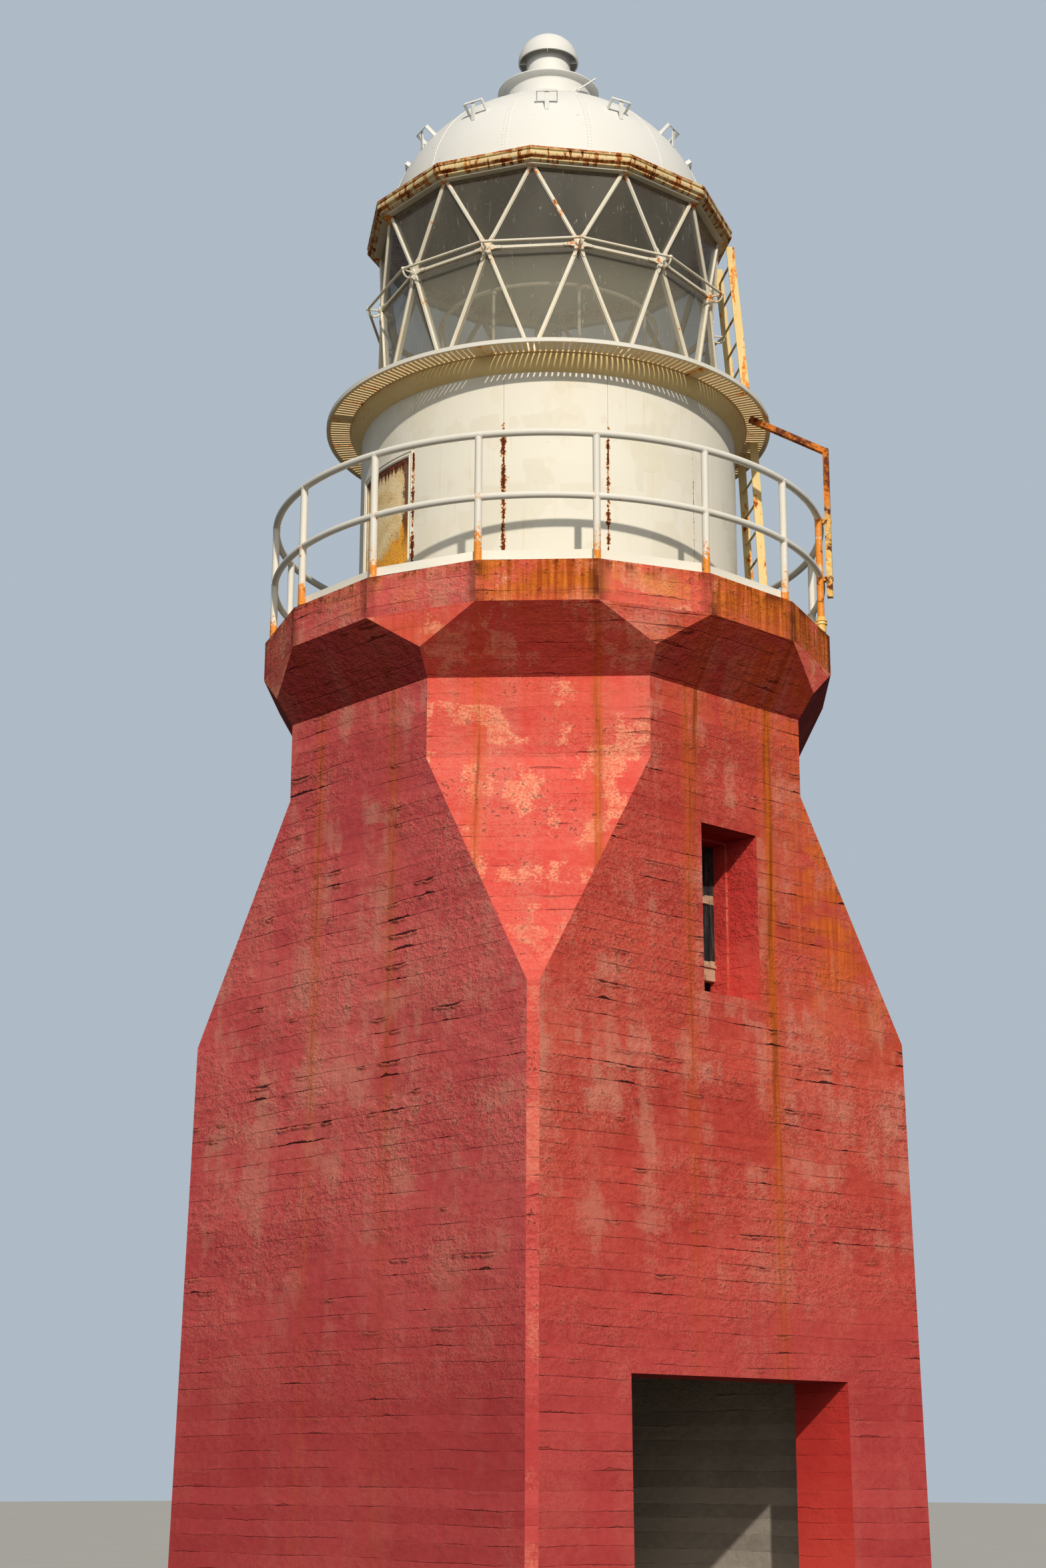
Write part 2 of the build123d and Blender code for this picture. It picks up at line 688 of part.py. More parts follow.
for index in range(vent_stays):
    azimuth = 45 + 360 / vent_stays * index
    stay = Rot(0, 0, azimuth) * block(neck_radius, vent_cap_radius, -vent_sheet / 2, vent_sheet / 2,
                                      vent_cap_height + vent_sheet, vent_cap_height + stay_width)
    vent_cap += (stay & cap_inside) - Pos(0, 0, vent_cap_height) * Cylinder(neck_radius, 4 * stay_width)
rod_start = polar(collar_radius, rod_base_azimuth, rod_base_height)
rod_end = polar(rod_tip_radius, rod_tip_azimuth, rod_tip_height)
boss_tip = polar(collar_radius + 4 * rod_radius, rod_base_azimuth, rod_base_height)
rod_boss = rod(rod_start, boss_tip, 2 * rod_radius)
rod_boss -= Pos(0, 0, rod_base_height) * Cylinder(collar_radius, beyond)
boss_end = polar(collar_radius + 2 * rod_radius, rod_base_azimuth, rod_base_height)
lightning_rod = rod_boss + rod(boss_end, rod_end, rod_radius)
lightning_rod = largest(lightning_rod)


ladder_azimuth = lantern_turn + bay_angle * (ladder_bay + 0.5)


def ladder(foot_radius, foot_height, head_radius, head_height):
    """Two flat stringers with round rungs between them, leaning in towards the tower."""
    outward = polar(1, ladder_azimuth, 0)
    sideways = polar(1, ladder_azimuth + 90, 0)
    foot = polar(foot_radius, ladder_azimuth, foot_height)
    head = polar(head_radius, ladder_azimuth, head_height)
    line = head - foot
    half = (ladder_width - ladder_flat_thickness) / 2
    body = None
    for side in (-half, half):
        shift = sideways * side
        stringer = flat_bar(foot + shift - line * 0.05, head + shift + line * 0.05,
                            ladder_flat_thickness, ladder_flat, outward)
        body = stringer if body is None else body + stringer
    height = foot_height + rung_pitch
    while height < head_height - rung_pitch / 2:
        point = foot + line * ((height - foot_height) / (head_height - foot_height))
        body += rod(point - sideways * half, point + sideways * half, rung_radius)
        height += rung_pitch
    return body & block(-reach, reach, -reach, reach, foot_height, head_height)


lower_ladder = ladder(lower_ladder_foot_radius, deck_top, lower_ladder_head_radius, catwalk_bottom)
upper_ladder = ladder(upper_ladder_foot_radius, catwalk_top, upper_ladder_head_radius, upper_ladder_top)
cornice_face = cornice_radius * corner_share + ladder_seat_gap
upper_ladder -= prism(bays, side_turn, cornice_face, head_bottom, cornice_top)

# Rusty bar from the catwalk out to the railing, clamped to both rails
brace_radius = railing_radius + brace_offset
brace_side = polar(1, brace_azimuth, 0)
elbow = polar(brace_radius, brace_azimuth, brace_elbow_height)
brace_start = polar(brace_inner_radius, brace_inner_azimuth, catwalk_bottom - brace_bar / 2)
rail_brace = flat_bar(polar(brace_radius, brace_azimuth, brace_bottom), elbow + Vector(0, 0, brace_bar / 2),
                      brace_bar, brace_bar, brace_side)
rail_brace += flat_bar(brace_start, elbow, brace_bar, brace_bar, Vector(0, 0, 1))
for rail_height in (top_rail_centre, mid_rail_centre):
    near = polar(railing_radius, brace_azimuth, rail_height)
    far = polar(brace_radius, brace_azimuth, rail_height)
    rail_brace += flat_bar(near, far, brace_bar, clamp_height, Vector(0, 0, 1))
rail_brace = rail_brace - top_rail - mid_ring
rail_brace &= block(-reach, reach, -reach, reach, deck_top, catwalk_bottom)
rail_brace = largest(rail_brace)

# The light, on a pedestal inside a round guard rail
pedestal = Pos(0, 0, lantern_floor_top + pedestal_foot_height / 2) * Cylinder(
    pedestal_foot_radius, pedestal_foot_height)
pedestal += Pos(0, 0, (lantern_floor_top + lamp_base_bottom) / 2) * Cylinder(
    pedestal_radius, lamp_base_bottom - lantern_floor_top)
lamp_base = Pos(0, 0, (lamp_base_bottom + lamp_base_top) / 2) * Cylinder(
    lamp_base_radius, lamp_base_top - lamp_base_bottom)
lamp_straight = lamp_top - lamp_base_top - lamp_radius
lamp = Pos(0, 0, lamp_base_top + lamp_straight / 2) * Cylinder(lamp_radius, lamp_straight)
lamp += Pos(0, 0, lamp_base_top + lamp_straight) * (
    Sphere(lamp_radius) & Pos(0, 0, lamp_radius / 2) * Box(2 * lamp_radius, 2 * lamp_radius, lamp_radius))
guard_centre = lantern_floor_top + guard_height
guard_rail = Pos(0, 0, guard_centre) * Torus(guard_radius, guard_tube)
guard_foot = polar(guard_radius, guard_turn, lantern_floor_top)
guard_post = rod(guard_foot, guard_foot + Vector(0, 0, guard_height), guard_post_radius)
guard_post = largest(guard_post - guard_rail)
guard_rail_posts = [Rot(0, 0, 360 / guard_posts * index) * guard_post for index in range(guard_posts)]

parts = {
    "ground_floor": [ground_floor],
    "front_wall_left": [front_wall_left],
    "front_wall_right": [front_wall_right],
    "front_wall_over_entrance": [front_wall_over_entrance],
    "left_wall": [left_wall],
    "right_wall": [right_wall],
    "back_wall": [back_wall],
    "upper_front_wall": [upper_front_wall],
    "upper_side_walls": upper_side_walls,
    "broach_corners": broach_corners,
    "octagon_corbel": [octagon_corbel],
    "gallery_deck": [gallery_deck],
    "window_frame": [window_frame],
    "window_sashes": [lower_sash, upper_sash],
    "window_glass": [lower_pane, upper_pane],
    "gallery_kerb": kerb,
    "railing_posts": posts,
    "railing_top_rail": top_lengths,
    "railing_mid_rail": mid_rail,
    "drum_plates_even": plates_even,
    "drum_plates_odd": plates_odd,
    "drum_door_frame": [door_frame],
    "drum_door": [drum_door],
    "drum_cove": [drum_cove],
    "catwalk_grating": catwalk_grating,
    "catwalk_rim": [catwalk_rim],
    "lantern_floor": [lantern_floor],
    "lantern_sill": [lantern_sill],
    "lantern_lattice": [lantern_lattice],
    "lantern_glass_upper": upper_panes,
    "lantern_glass_lower": lower_panes,
    "lantern_head": [lantern_head],
    "lantern_handrail": [handrail],
    "handrail_hooks": hooks,
    "cornice": [cornice],
    "dome": gores,
    "dome_brackets": grab_brackets,
    "vent_stack": [vent_stack],
    "vent_cap": [vent_cap],
    "lightning_rod": [lightning_rod],
    "lower_ladder": [lower_ladder],
    "upper_ladder": [upper_ladder],
    "rail_brace": [rail_brace],
    "lamp_pedestal": [pedestal],
    "lamp_base": [lamp_base],
    "lamp": [lamp],
    "guard_rail": [guard_rail],
    "guard_rail_posts": guard_rail_posts,
}

os.makedirs("parts", exist_ok=True)
for name, pieces in parts.items():
    solids = [solid for piece in pieces for solid in piece.solids()]
    body = Compound(children=solids) if len(solids) > 1 else solids[0]
    export_step(body, f"parts/{name}.step")
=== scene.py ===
"""A weathered red concrete lighthouse with a white steel drum and a glazed lantern.

Metres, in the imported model's own frame: the origin on the tower's axis at ground level, +Z up,
the front with the entrance and the window towards -Y. Azimuths are degrees from +X.
"""

import math

import bpy
import numpy as np
from mathutils import Euler, Matrix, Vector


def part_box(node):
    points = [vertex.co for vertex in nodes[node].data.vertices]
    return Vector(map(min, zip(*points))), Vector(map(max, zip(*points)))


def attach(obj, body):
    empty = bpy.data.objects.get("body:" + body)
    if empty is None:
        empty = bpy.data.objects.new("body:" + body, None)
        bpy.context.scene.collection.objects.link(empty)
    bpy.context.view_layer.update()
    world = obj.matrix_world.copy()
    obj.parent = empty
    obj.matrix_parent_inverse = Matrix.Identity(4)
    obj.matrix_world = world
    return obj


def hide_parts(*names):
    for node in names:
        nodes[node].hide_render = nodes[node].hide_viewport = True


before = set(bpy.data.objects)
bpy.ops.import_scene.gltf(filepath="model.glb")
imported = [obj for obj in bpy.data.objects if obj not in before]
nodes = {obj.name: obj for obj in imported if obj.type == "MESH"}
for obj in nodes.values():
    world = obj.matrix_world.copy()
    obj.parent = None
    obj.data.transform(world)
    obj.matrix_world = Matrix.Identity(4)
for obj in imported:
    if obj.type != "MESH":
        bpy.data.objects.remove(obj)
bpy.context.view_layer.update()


def foot_of(node):
    """The lowest height of a solid, to a tenth of a millimetre."""
    return round(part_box(node)[0][2], 4)


def head_of(node):
    """The highest height of a solid, to a tenth of a millimetre."""
    return round(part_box(node)[1][2], 4)


def middle_of(node):
    """The height halfway up a solid."""
    return round((foot_of(node) + head_of(node)) / 2, 4)


# Heights that the solids give, from the ground up

window_sash_foot = foot_of("window_sashes")
window_glass_foot = foot_of("window_glass")
window_glass_head = head_of("window_glass")
deck_bottom = foot_of("gallery_deck")
deck_top = head_of("gallery_deck")
mid_rail_height = middle_of("railing_mid_rail")
top_rail_height = middle_of("railing_top_rail")
door_head = head_of("drum_door")
doorway_head = head_of("drum_door_frame")
drum_top = head_of("drum_plates_even")
lower_ladder_top = head_of("lower_ladder")
lantern_floor_top = head_of("lantern_floor")
sill_top = head_of("lantern_sill")
lamp_base_foot = foot_of("lamp_base")
guard_height = middle_of("guard_rail")
lamp_cover_foot = foot_of("lamp")
mid_node_height = middle_of("lantern_handrail")
head_top = head_of("lantern_head")
top_node_height = head_top - 0.004
upper_ladder_top = head_of("upper_ladder")
cornice_deck = foot_of("dome")
cornice_top = head_of("cornice")
vent_cap_height = foot_of("vent_cap")
neck_top = head_of("vent_stack")
collar_foot = neck_top - 0.700

# Widths, radii and azimuths that the model's source also has

window_face = -1.637
meeting_rail_foot = 5.996
meeting_rail_head = 6.062
deck_apothem = 2.390
deck_sides = 16
deck_side_angle = 360 / deck_sides
railing_radius = deck_apothem / math.cos(math.radians(deck_side_angle / 2)) - 0.066
brace_post_azimuth = 303.75
brace_azimuth = 305.6
brace_outer_radius = 2.4715
post_radius = 0.030
mid_rail_radius = 0.028
drum_radius = 1.647
drum_seam_turn = 4.3
drum_plates = 12
drum_plate_angle = 360 / drum_plates
doorway_start = 154.3
doorway_end = 184.3
catwalk_radius = 1.950
bays = 12
bay_angle = 360 / bays
lantern_turn = 11.9
node_radius = 1.550
mid_node_radius = 1.515
handrail_radius = 1.626
handrail_tube = 0.012
guard_radius = 0.970
guard_tube = 0.017
guard_posts = 8
guard_turn = 18
cornice_radius = 1.664
dome_radius = 1.452
dome_rise = 1.302
dome_seam_turn = 1.5
collar_inner_radius = 0.403
collar_radius = 0.409
neck_radius = 0.205
vent_cap_radius = 0.278
sheet_thickness = 0.006

# Azimuths of what repeats round the tower

post_azimuths = deck_side_angle * (np.arange(deck_sides) + 0.5)
drum_seams = drum_seam_turn + drum_plate_angle * np.arange(drum_plates)
bay_corners = lantern_turn + bay_angle * np.arange(bays)
bay_middles = lantern_turn + bay_angle * (np.arange(bays) + 0.5)
dome_seams = dome_seam_turn + bay_angle * np.arange(bays)
upright = np.array([0, 0, 1.0])
level_only = np.array([1, 1, 0])


# Surfaces worked out as whole arrays; a part is its points and a list of face arrays

def polar(radius, azimuth, height):
    """Points at radii, azimuths in degrees and heights: x = r cos a, y = r sin a."""
    angle = np.radians(azimuth)
    radius, angle, height = np.broadcast_arrays(radius, angle, height)
    return np.stack([radius * np.cos(angle), radius * np.sin(angle), height], -1).astype(float)


def arc(centre, radii, first, last, count):
    """Profile points (r + a cos t, z + b sin t) round a centre, as t goes from first to last in degrees."""
    turn = np.radians(np.linspace(first, last, count))
    return np.stack([centre[0] + radii[0] * np.cos(turn), centre[1] + radii[1] * np.sin(turn)], -1)


def ring_profile(radius, height, tube_radius, sides=14):
    """The round section of a bent tube, as (radius, height) points."""
    angle = np.arange(sides) * 2 * np.pi / sides
    return np.stack([radius + tube_radius * np.cos(angle), height + tube_radius * np.sin(angle)], -1)


def above(level, profile):
    """A profile of (radius, rise) points with its rises measured from a level."""
    return np.array(profile, float) + (0, level)


def unit(vectors):
    """Vectors brought to a length of one."""
    return vectors / np.linalg.norm(vectors, axis=-1, keepdims=True)


def square_to(along, outward):
    """The share of each outward vector that is square to its bar, brought to a length of one."""
    return unit(outward - along * (outward * along).sum(1, keepdims=True))


def directions_across(along, guide=None):
    """Two directions square to each vector: its cross product with a guide, and the one square to both."""
    if guide is None:
        guide = np.where(np.abs(along[:, 2:3]) > 0.9, np.array([[1.0, 0, 0]]), upright)
    side = unit(np.cross(along, guide))
    return side, np.cross(along, side)


def rings(side, other, sides):
    """Unit circles in the planes of two directions: side cos t + other sin t."""
    angle = (np.arange(sides) * 2 * np.pi / sides)[:, None]
    return np.cos(angle) * side[:, None] + np.sin(angle) * other[:, None]


def grid_faces(rows, columns, wrap_rows=False, wrap_columns=False):
    """Four-cornered faces between a grid's points; a wrapped way joins its last line to its first."""
    row = np.arange(rows if wrap_rows else rows - 1)[:, None]
    column = np.arange(columns if wrap_columns else columns - 1)[None, :]
    next_row = (row + 1) % rows
    next_column = (column + 1) % columns
    corners = [row * columns + column, row * columns + next_column,
               next_row * columns + next_column, next_row * columns + column]
    return np.stack(corners, -1).reshape(-1, 4)


def copied_faces(faces, count, step):
    """Face arrays repeated for a number of copies, each copy's points a step after the last one's."""
    shift = np.arange(count)[:, None, None] * step
    return [(group[None] + shift).reshape(-1, group.shape[1]) for group in faces]


def prism_faces(count, sides):
    """The walls and the two ends of many prisms, each with its near outline first and then its far one."""
    near = np.arange(sides)[None, ::-1]
    far = sides + np.arange(sides)[None]
    return copied_faces([grid_faces(2, sides, False, True), near, far], count, 2 * sides)


def merge(*parts):
    """One set of points and faces from several."""
    points, faces, shift = [], [], 0
    for part_points, part_faces in parts:
        part_points = part_points.reshape(-1, 3)
        points.append(part_points)
        faces += [group + shift for group in part_faces]
        shift += len(part_points)
    return np.concatenate(points), faces


def turn_points(points, azimuths):
    """Points turned about the tower's axis by each azimuth: x cos a - y sin a and x sin a + y cos a."""
    angle = np.radians(np.asarray(azimuths, float))[:, None]
    x = np.cos(angle) * points[:, 0] - np.sin(angle) * points[:, 1]
    y = np.sin(angle) * points[:, 0] + np.cos(angle) * points[:, 1]
    return np.stack([x, y, np.broadcast_to(points[:, 2], x.shape)], -1)


def turn_copies(part, azimuths):
    """Copies of a part turned about the tower's axis by each azimuth."""
    points, faces = part
    points = points.reshape(-1, 3)
    return turn_points(points, azimuths), copied_faces(faces, len(azimuths), len(points))


def turned(profile, count=144, centre=(0, 0), closed=False):
    """A profile of (radius, height) points carried round an upright axis; a closed one joins its ends."""
    profile = np.asarray(profile, float)
    azimuth = np.arange(count) * 360 / count
    points = polar(profile[None, :, 0], azimuth[:, None], profile[None, :, 1])
    points += np.array([*centre, 0.0])
    return points, [grid_faces(count, len(profile), True, closed)[:, ::-1]]


def tube(path, radius, sides=12, closed=False):
    """A round section carried along a path, square to it everywhere, with closed ends."""
    path = np.asarray(path, float)
    along = unit(np.roll(path, -1, 0) - np.roll(path, 1, 0) if closed else np.gradient(path, axis=0))
    steep = np.abs(along[:, 2]) > 0.9
    oblique = np.array([[0.6, 0.64, 0.48]]) if steep.any() and not steep.all() else None
    side, other = directions_across(along, oblique)
    points = path[:, None] + radius * rings(side, other, sides)
    faces = [grid_faces(len(path), sides, closed, True)]
    if not closed:
        faces.append(np.arange(sides)[None, ::-1])
        faces.append(((len(path) - 1) * sides + np.arange(sides))[None, :])
    return points, faces


def bars(starts, ends, profile, outward):
    """Straight bars with one closed section of (across, outward) distances from each bar's line."""
    starts, ends, outward = (np.asarray(value, float) for value in (starts, ends, outward))
    profile = np.asarray(profile, float)
    along = unit(ends - starts)
    out = square_to(along, outward)
    across = np.cross(out, along)
    offset = across[:, None] * profile[None, :, :1] + out[:, None] * profile[None, :, 1:]
    points = np.stack([starts[:, None] + offset, ends[:, None] + offset], 1)
    return points, prism_faces(len(starts), len(profile))


def plates(origins, x_axes, y_axes, outline, low, high):
    """Flat plates of one outline in the plane of two axes, from low to high along their cross product."""
    outline = np.asarray(outline, float)
    normals = np.cross(x_axes, y_axes)[:, None]
    flat = origins[:, None] + x_axes[:, None] * outline[None, :, :1] + y_axes[:, None] * outline[None, :, 1:]
    return np.stack([flat + low * normals, flat + high * normals], 1), prism_faces(len(origins), len(outline))


def curved_sheet(radius_in, radius_out, start, end, low, high, steps=16, ease=0.002):
    """A plate bent round the axis between two azimuths and heights, with eased outer edges."""
    section = np.array([(radius_in, low), (radius_out - ease, low), (radius_out, low + ease),
                        (radius_out, high - ease), (radius_out - ease, high), (radius_in, high)])
    corners = len(section)
    azimuth = np.linspace(start, end, steps + 1)
    points = polar(section[None, :, 0], azimuth[:, None], section[None, :, 1])
    near = np.arange(corners)[None]
    far = (steps * corners + np.arange(corners)[::-1])[None]
    return points, [grid_faces(steps + 1, corners, False, True)[:, ::-1], near, far]


def rounded_box(half_width, half_depth, corner):
    """A rectangle's outline with cut corners, as (across, outward) points."""
    w, d, c = half_width, half_depth, corner
    return [(w, -d + c), (w, d - c), (w - c, d), (-w + c, d),
            (-w, d - c), (-w, -d + c), (-w + c, -d), (w - c, -d)]


def rivets(centres, normals, radius, height):
    """Low domes on a surface: a ring just under it, a smaller ring above it and a point on top."""
    sides = 8
    centres, normals = np.asarray(centres, float), np.asarray(normals, float)
    around = rings(*directions_across(normals), sides)
    foot = centres[:, None] + radius * around - 0.001 * normals[:, None]
    shoulder = centres[:, None] + 0.72 * radius * around + 0.75 * height * normals[:, None]
    top = centres[:, None] + height * normals[:, None]
    place = np.arange(sides)
    cap = np.stack([sides + place, sides + (place + 1) % sides, np.full(sides, 2 * sides)], -1)
    faces = copied_faces([grid_faces(2, sides, False, True), cap], len(centres), 2 * sides + 1)
    return np.concatenate([foot, shoulder, top], 1), faces


def put_piece(name, part, finish, replaced=(), crease=35):
    """A mesh from corner points and lists of faces, riding on the tower; edges past the crease stay sharp."""
    points, faces = part
    corners = np.concatenate([group.ravel() for group in faces])
    sizes = np.concatenate([np.full(len(group), group.shape[1]) for group in faces])
    starts = np.concatenate([[0], np.cumsum(sizes)[:-1]])
    mesh = bpy.data.meshes.new(name)
    points = np.ascontiguousarray(points.reshape(-1, 3), dtype=np.float32)
    mesh.vertices.add(len(points))
    mesh.vertices.foreach_set("co", points.ravel())
    mesh.loops.add(len(corners))
    mesh.loops.foreach_set("vertex_index", corners.astype(np.int32))
    mesh.polygons.add(len(sizes))
    mesh.polygons.foreach_set("loop_start", starts.astype(np.int32))
    mesh.polygons.foreach_set("use_smooth", np.full(len(sizes), True))
    mesh.update(calc_edges=True)
    mesh.validate()
    mesh.set_sharp_from_angle(angle=math.radians(crease))
    mesh.materials.append(finish)
    piece = bpy.data.objects.new(name, mesh)
    bpy.context.scene.collection.objects.link(piece)
    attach(piece, "root")
    if replaced:
        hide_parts(*replaced)
    return piece


# Finishes as shader sums

def paint(red, green, blue):
    """A colour measured on a screen, as the light that it sends back."""
    values = np.array([red, green, blue]) / 255
    linear = np.where(values <= 0.04045, values / 12.92, ((values + 0.055) / 1.055) ** 2.4)
    return (*map(float, linear), 1.0)


class Shade:
    """A socket that sends out a number, a colour or a vector; sums on it add Math nodes."""

    def __init__(self, finish, socket):
        self.finish = finish
        self.socket = socket

    def __add__(self, other):
        return self.finish.maths("ADD", self, other)

    __radd__ = __add__

    def __mul__(self, other):
        return self.finish.maths("MULTIPLY", self, other)

    __rmul__ = __mul__

    def __sub__(self, other):
        return self.finish.maths("SUBTRACT", self, other)

    def __rsub__(self, other):
        return self.finish.maths("SUBTRACT", other, self)

    def __truediv__(self, other):
        return self.finish.maths("DIVIDE", self, other)

    def __abs__(self):
        return self.finish.maths("ABSOLUTE", self)

    def __or__(self, other):
        """The larger of two values, so that masks add up to no more than the stronger one."""
        return self.finish.maths("MAXIMUM", self, other)

    __ror__ = __or__

    def rise(self, low, high, first=0.0, last=1.0):
        """A smooth step from first to last as the value goes from low to high."""
        return self.finish.make("ShaderNodeMapRange", {"interpolation_type": "SMOOTHSTEP"},
                                (self, low, high, first, last))

    def whole(self):
        """The nearest whole number."""
        return self.finish.maths("ROUND", self)

    def is_near(self, value):
        """1 within half of a whole number, else 0."""
        return self.finish.maths("COMPARE", self, float(value), 0.5)


class Finish:
    """A material being made, with the place on the object as x, y and z."""

    def __init__(self, name):
        self.material = bpy.data.materials.new(name)
        self.material.use_nodes = True
        self.tree = self.material.node_tree
        self.tree.nodes.clear()
        self.place = self.make("ShaderNodeTexCoord", {}, (), "Object")
        self.x, self.y, self.z = self.split(self.place)

    def make(self, kind, settings, sockets=(), output=0):
        """Any node: its settings first, then the values or links of its sockets, in order or by name."""
        node = self.tree.nodes.new(kind)
        for key, value in settings.items():
            setattr(node, key, value)
        named = sockets if isinstance(sockets, dict) else dict(enumerate(sockets))
        for key, value in named.items():
            if isinstance(value, Shade):
                self.tree.links.new(value.socket, node.inputs[key])
            elif value is not None:
                node.inputs[key].default_value = value
        return Shade(self, node.outputs[output])

    def maths(self, operation, *values):
        """One sum on numbers or sockets."""
        return self.make("ShaderNodeMath", {"operation": operation}, values)

    def vector(self, x, y, z):
        """Three numbers joined into a vector."""
        return self.make("ShaderNodeCombineXYZ", {}, (x, y, z))

    def split(self, vector):
        """The three numbers of a vector."""
        node = self.make("ShaderNodeSeparateXYZ", {}, (vector,)).socket.node
        return [Shade(self, socket) for socket in node.outputs]

    def stretched(self, x, y, z):
        """The place with each direction scaled."""
        return self.make("ShaderNodeVectorMath", {"operation": "MULTIPLY"}, (self.place, (x, y, z)))

    def azimuth(self):
        """Degrees round the tower's axis, from -180 to 180."""
        return self.maths("ARCTAN2", self.y, self.x) * (180 / math.pi)

    def gap_from(self, azimuth, first, step, radius):
        """Metres along a circle from the nearest of evenly spaced azimuths."""
        turns = (azimuth - first) / step
        return abs(turns - turns.whole()) * (step * math.pi / 180 * radius)

    def snapped(self, value, step):
        """The value stepped down to whole steps."""
        return self.maths("SNAP", value, step)

    def noise(self, where, scale=1.0, detail=3.0, rough=0.55, warp=0.0):
        """Cloud from 0 to 1 with so many waves to a metre, finer with detail and sharper with rough."""
        return self.make("ShaderNodeTexNoise", {"noise_dimensions": "3D"},
                         {"Vector": where, "Scale": scale, "Detail": detail, "Roughness": rough,
                          "Distortion": warp})

    def mix_colours(self, share, first, second):
        """The first colour where the share is 0 and the second where it is 1."""
        return self.make("ShaderNodeMix", {"data_type": "RGBA"}, {0: share, 6: first, 7: second}, 2)

    def two_tone(self, value, low, high, first, second):
        """From one colour to another as a value goes from low to high."""
        return self.mix_colours(value.rise(low, high), first, second)

    def finish(self, colour, rough, height=None, alpha=None, specular=None):
        """The surface: a Principled shader with a bump whose height is in metres."""
        bump = self.make("ShaderNodeBump", {}, {"Distance": 1.0, "Height": height}) if height else None
        shader = self.make("ShaderNodeBsdfPrincipled", {},
                           {"IOR": 1.45, "Specular IOR Level": specular, "Base Color": colour,
                            "Roughness": rough, "Alpha": alpha, "Normal": bump})
        result = self.tree.nodes.new("ShaderNodeOutputMaterial")
        self.tree.links.new(shader.socket, result.inputs["Surface"])
        return self.material


# Red concrete

class Wall(Finish):
    """A finish for the tower's flat faces, on which u runs level along each face and z up it.

    u = y cos a - x sin a, where a is the azimuth of the face, to the nearest of its sides, so that boards,
    runs and patches follow each face.
    """

    def __init__(self, name, sides):
        super().__init__(name)
        normal = self.make("ShaderNodeNewGeometry", {}, (), "True Normal")
        self.face_x, self.face_y, self.face_z = self.split(normal)
        step = 2 * math.pi / sides
        self.side = (self.maths("ARCTAN2", self.face_y, self.face_x) / step).whole()
        self.facing = self.side * step
        self.u = self.y * self.maths("COSINE", self.facing) - self.x * self.maths("SINE", self.facing)
        self.across = self.u + abs(self.side) * 7.3
        self.ragged = self.on_face(30, 30, 3, 0.65, 1)
        self.grain = self.on_face(46, 50, 3, 0.6, 2)
        self.coarse = self.on_face(13, 17, 4, 0.6, 4)
        self.clouds = self.on_face(0.6, 0.8, 4, 0.6, 7)
        self.runs = self.on_face(3.4, 0.55, 3, 0.6, 8)
        self.streak = self.on_face(24, 1.0, 3, 0.6, 12)
        self.blotch = self.on_face(2.6, 3.2, 4, 0.6, 13)

    def on_face(self, along, up, detail=3.0, rough=0.55, shift=0.0):
        """Cloud over a face, with so many waves a metre along it and up it."""
        return self.noise(self.vector(self.across * along, self.z * up, shift), 1.0, detail, rough)

    def is_side(self, *numbers):
        """1 on any of the numbered faces, else 0."""
        mask = self.side.is_near(numbers[0])
        for number in numbers[1:]:
            mask = mask | self.side.is_near(number)
        return mask


def board_marks(f, strength, plainer):
    """What the shuttering left: boards, hairlines, cracks, the lips under them and honeycombed pits.

    A board's edge lies where a wobbling height crosses the border of a cell. It is ragged: a crack opens
    there where a slow cloud is high, and the concrete below it juts out and catches the light.
    """
    boards_a_metre = 8.1
    wobble = f.on_face(5, 4, 3, 0.6) * 0.040 + f.on_face(0.5, 0.6, 2, shift=3) * 0.16
    level = (f.z + wobble * 0.6) * boards_a_metre
    rows = {"W": level, "Scale": 1.0, "Randomness": 0.45}
    to_edge = {"voronoi_dimensions": "1D", "feature": "DISTANCE_TO_EDGE"}
    edge = f.make("ShaderNodeTexVoronoi", to_edge, rows) / boards_a_metre
    cell = f.make("ShaderNodeTexVoronoi", {"voronoi_dimensions": "1D"}, rows, "W")
    board = f.make("ShaderNodeTexWhiteNoise", {"noise_dimensions": "1D"}, {"W": cell}, "Value")
    below = (level - cell).rise(-0.02, 0.02)
    broken = f.noise(f.vector(f.across * 1.7, board * 37 + f.z * 0.8, 5), 1.0, 3, 0.6)
    zone = f.on_face(0.7, 1.6, 3, 0.6, 6)
    rough_zone = zone.rise(0.38, 0.58, 0.25, 1) * strength
    jag = (f.ragged - 0.5) * 0.026
    hairline = (edge + jag * 0.45).rise(0.0010, 0.0055, 1, 0) * broken.rise(0.42, 0.58, 0.0, 1) * plainer
    width = broken.rise(0.585, 0.74, 0.0, 0.022)
    open_here = broken.rise(0.585, 0.61) * strength * plainer
    crack = (edge + jag - width).rise(-0.003, 0.002, 1, 0) * open_here
    lip = (edge - width).rise(0.004, 0.034, 1, 0) * below * broken.rise(0.57, 0.64) * strength * plainer
    near_edge = edge.rise(0.0, 0.03, 0.02, 0)
    hollow = f.coarse * 0.55 + f.ragged * 0.45 + near_edge + (zone - 0.5) * 0.16
    pits = hollow.rise(0.595, 0.645) * rough_zone
    return board, rough_zone, hairline, crack, lip, pits


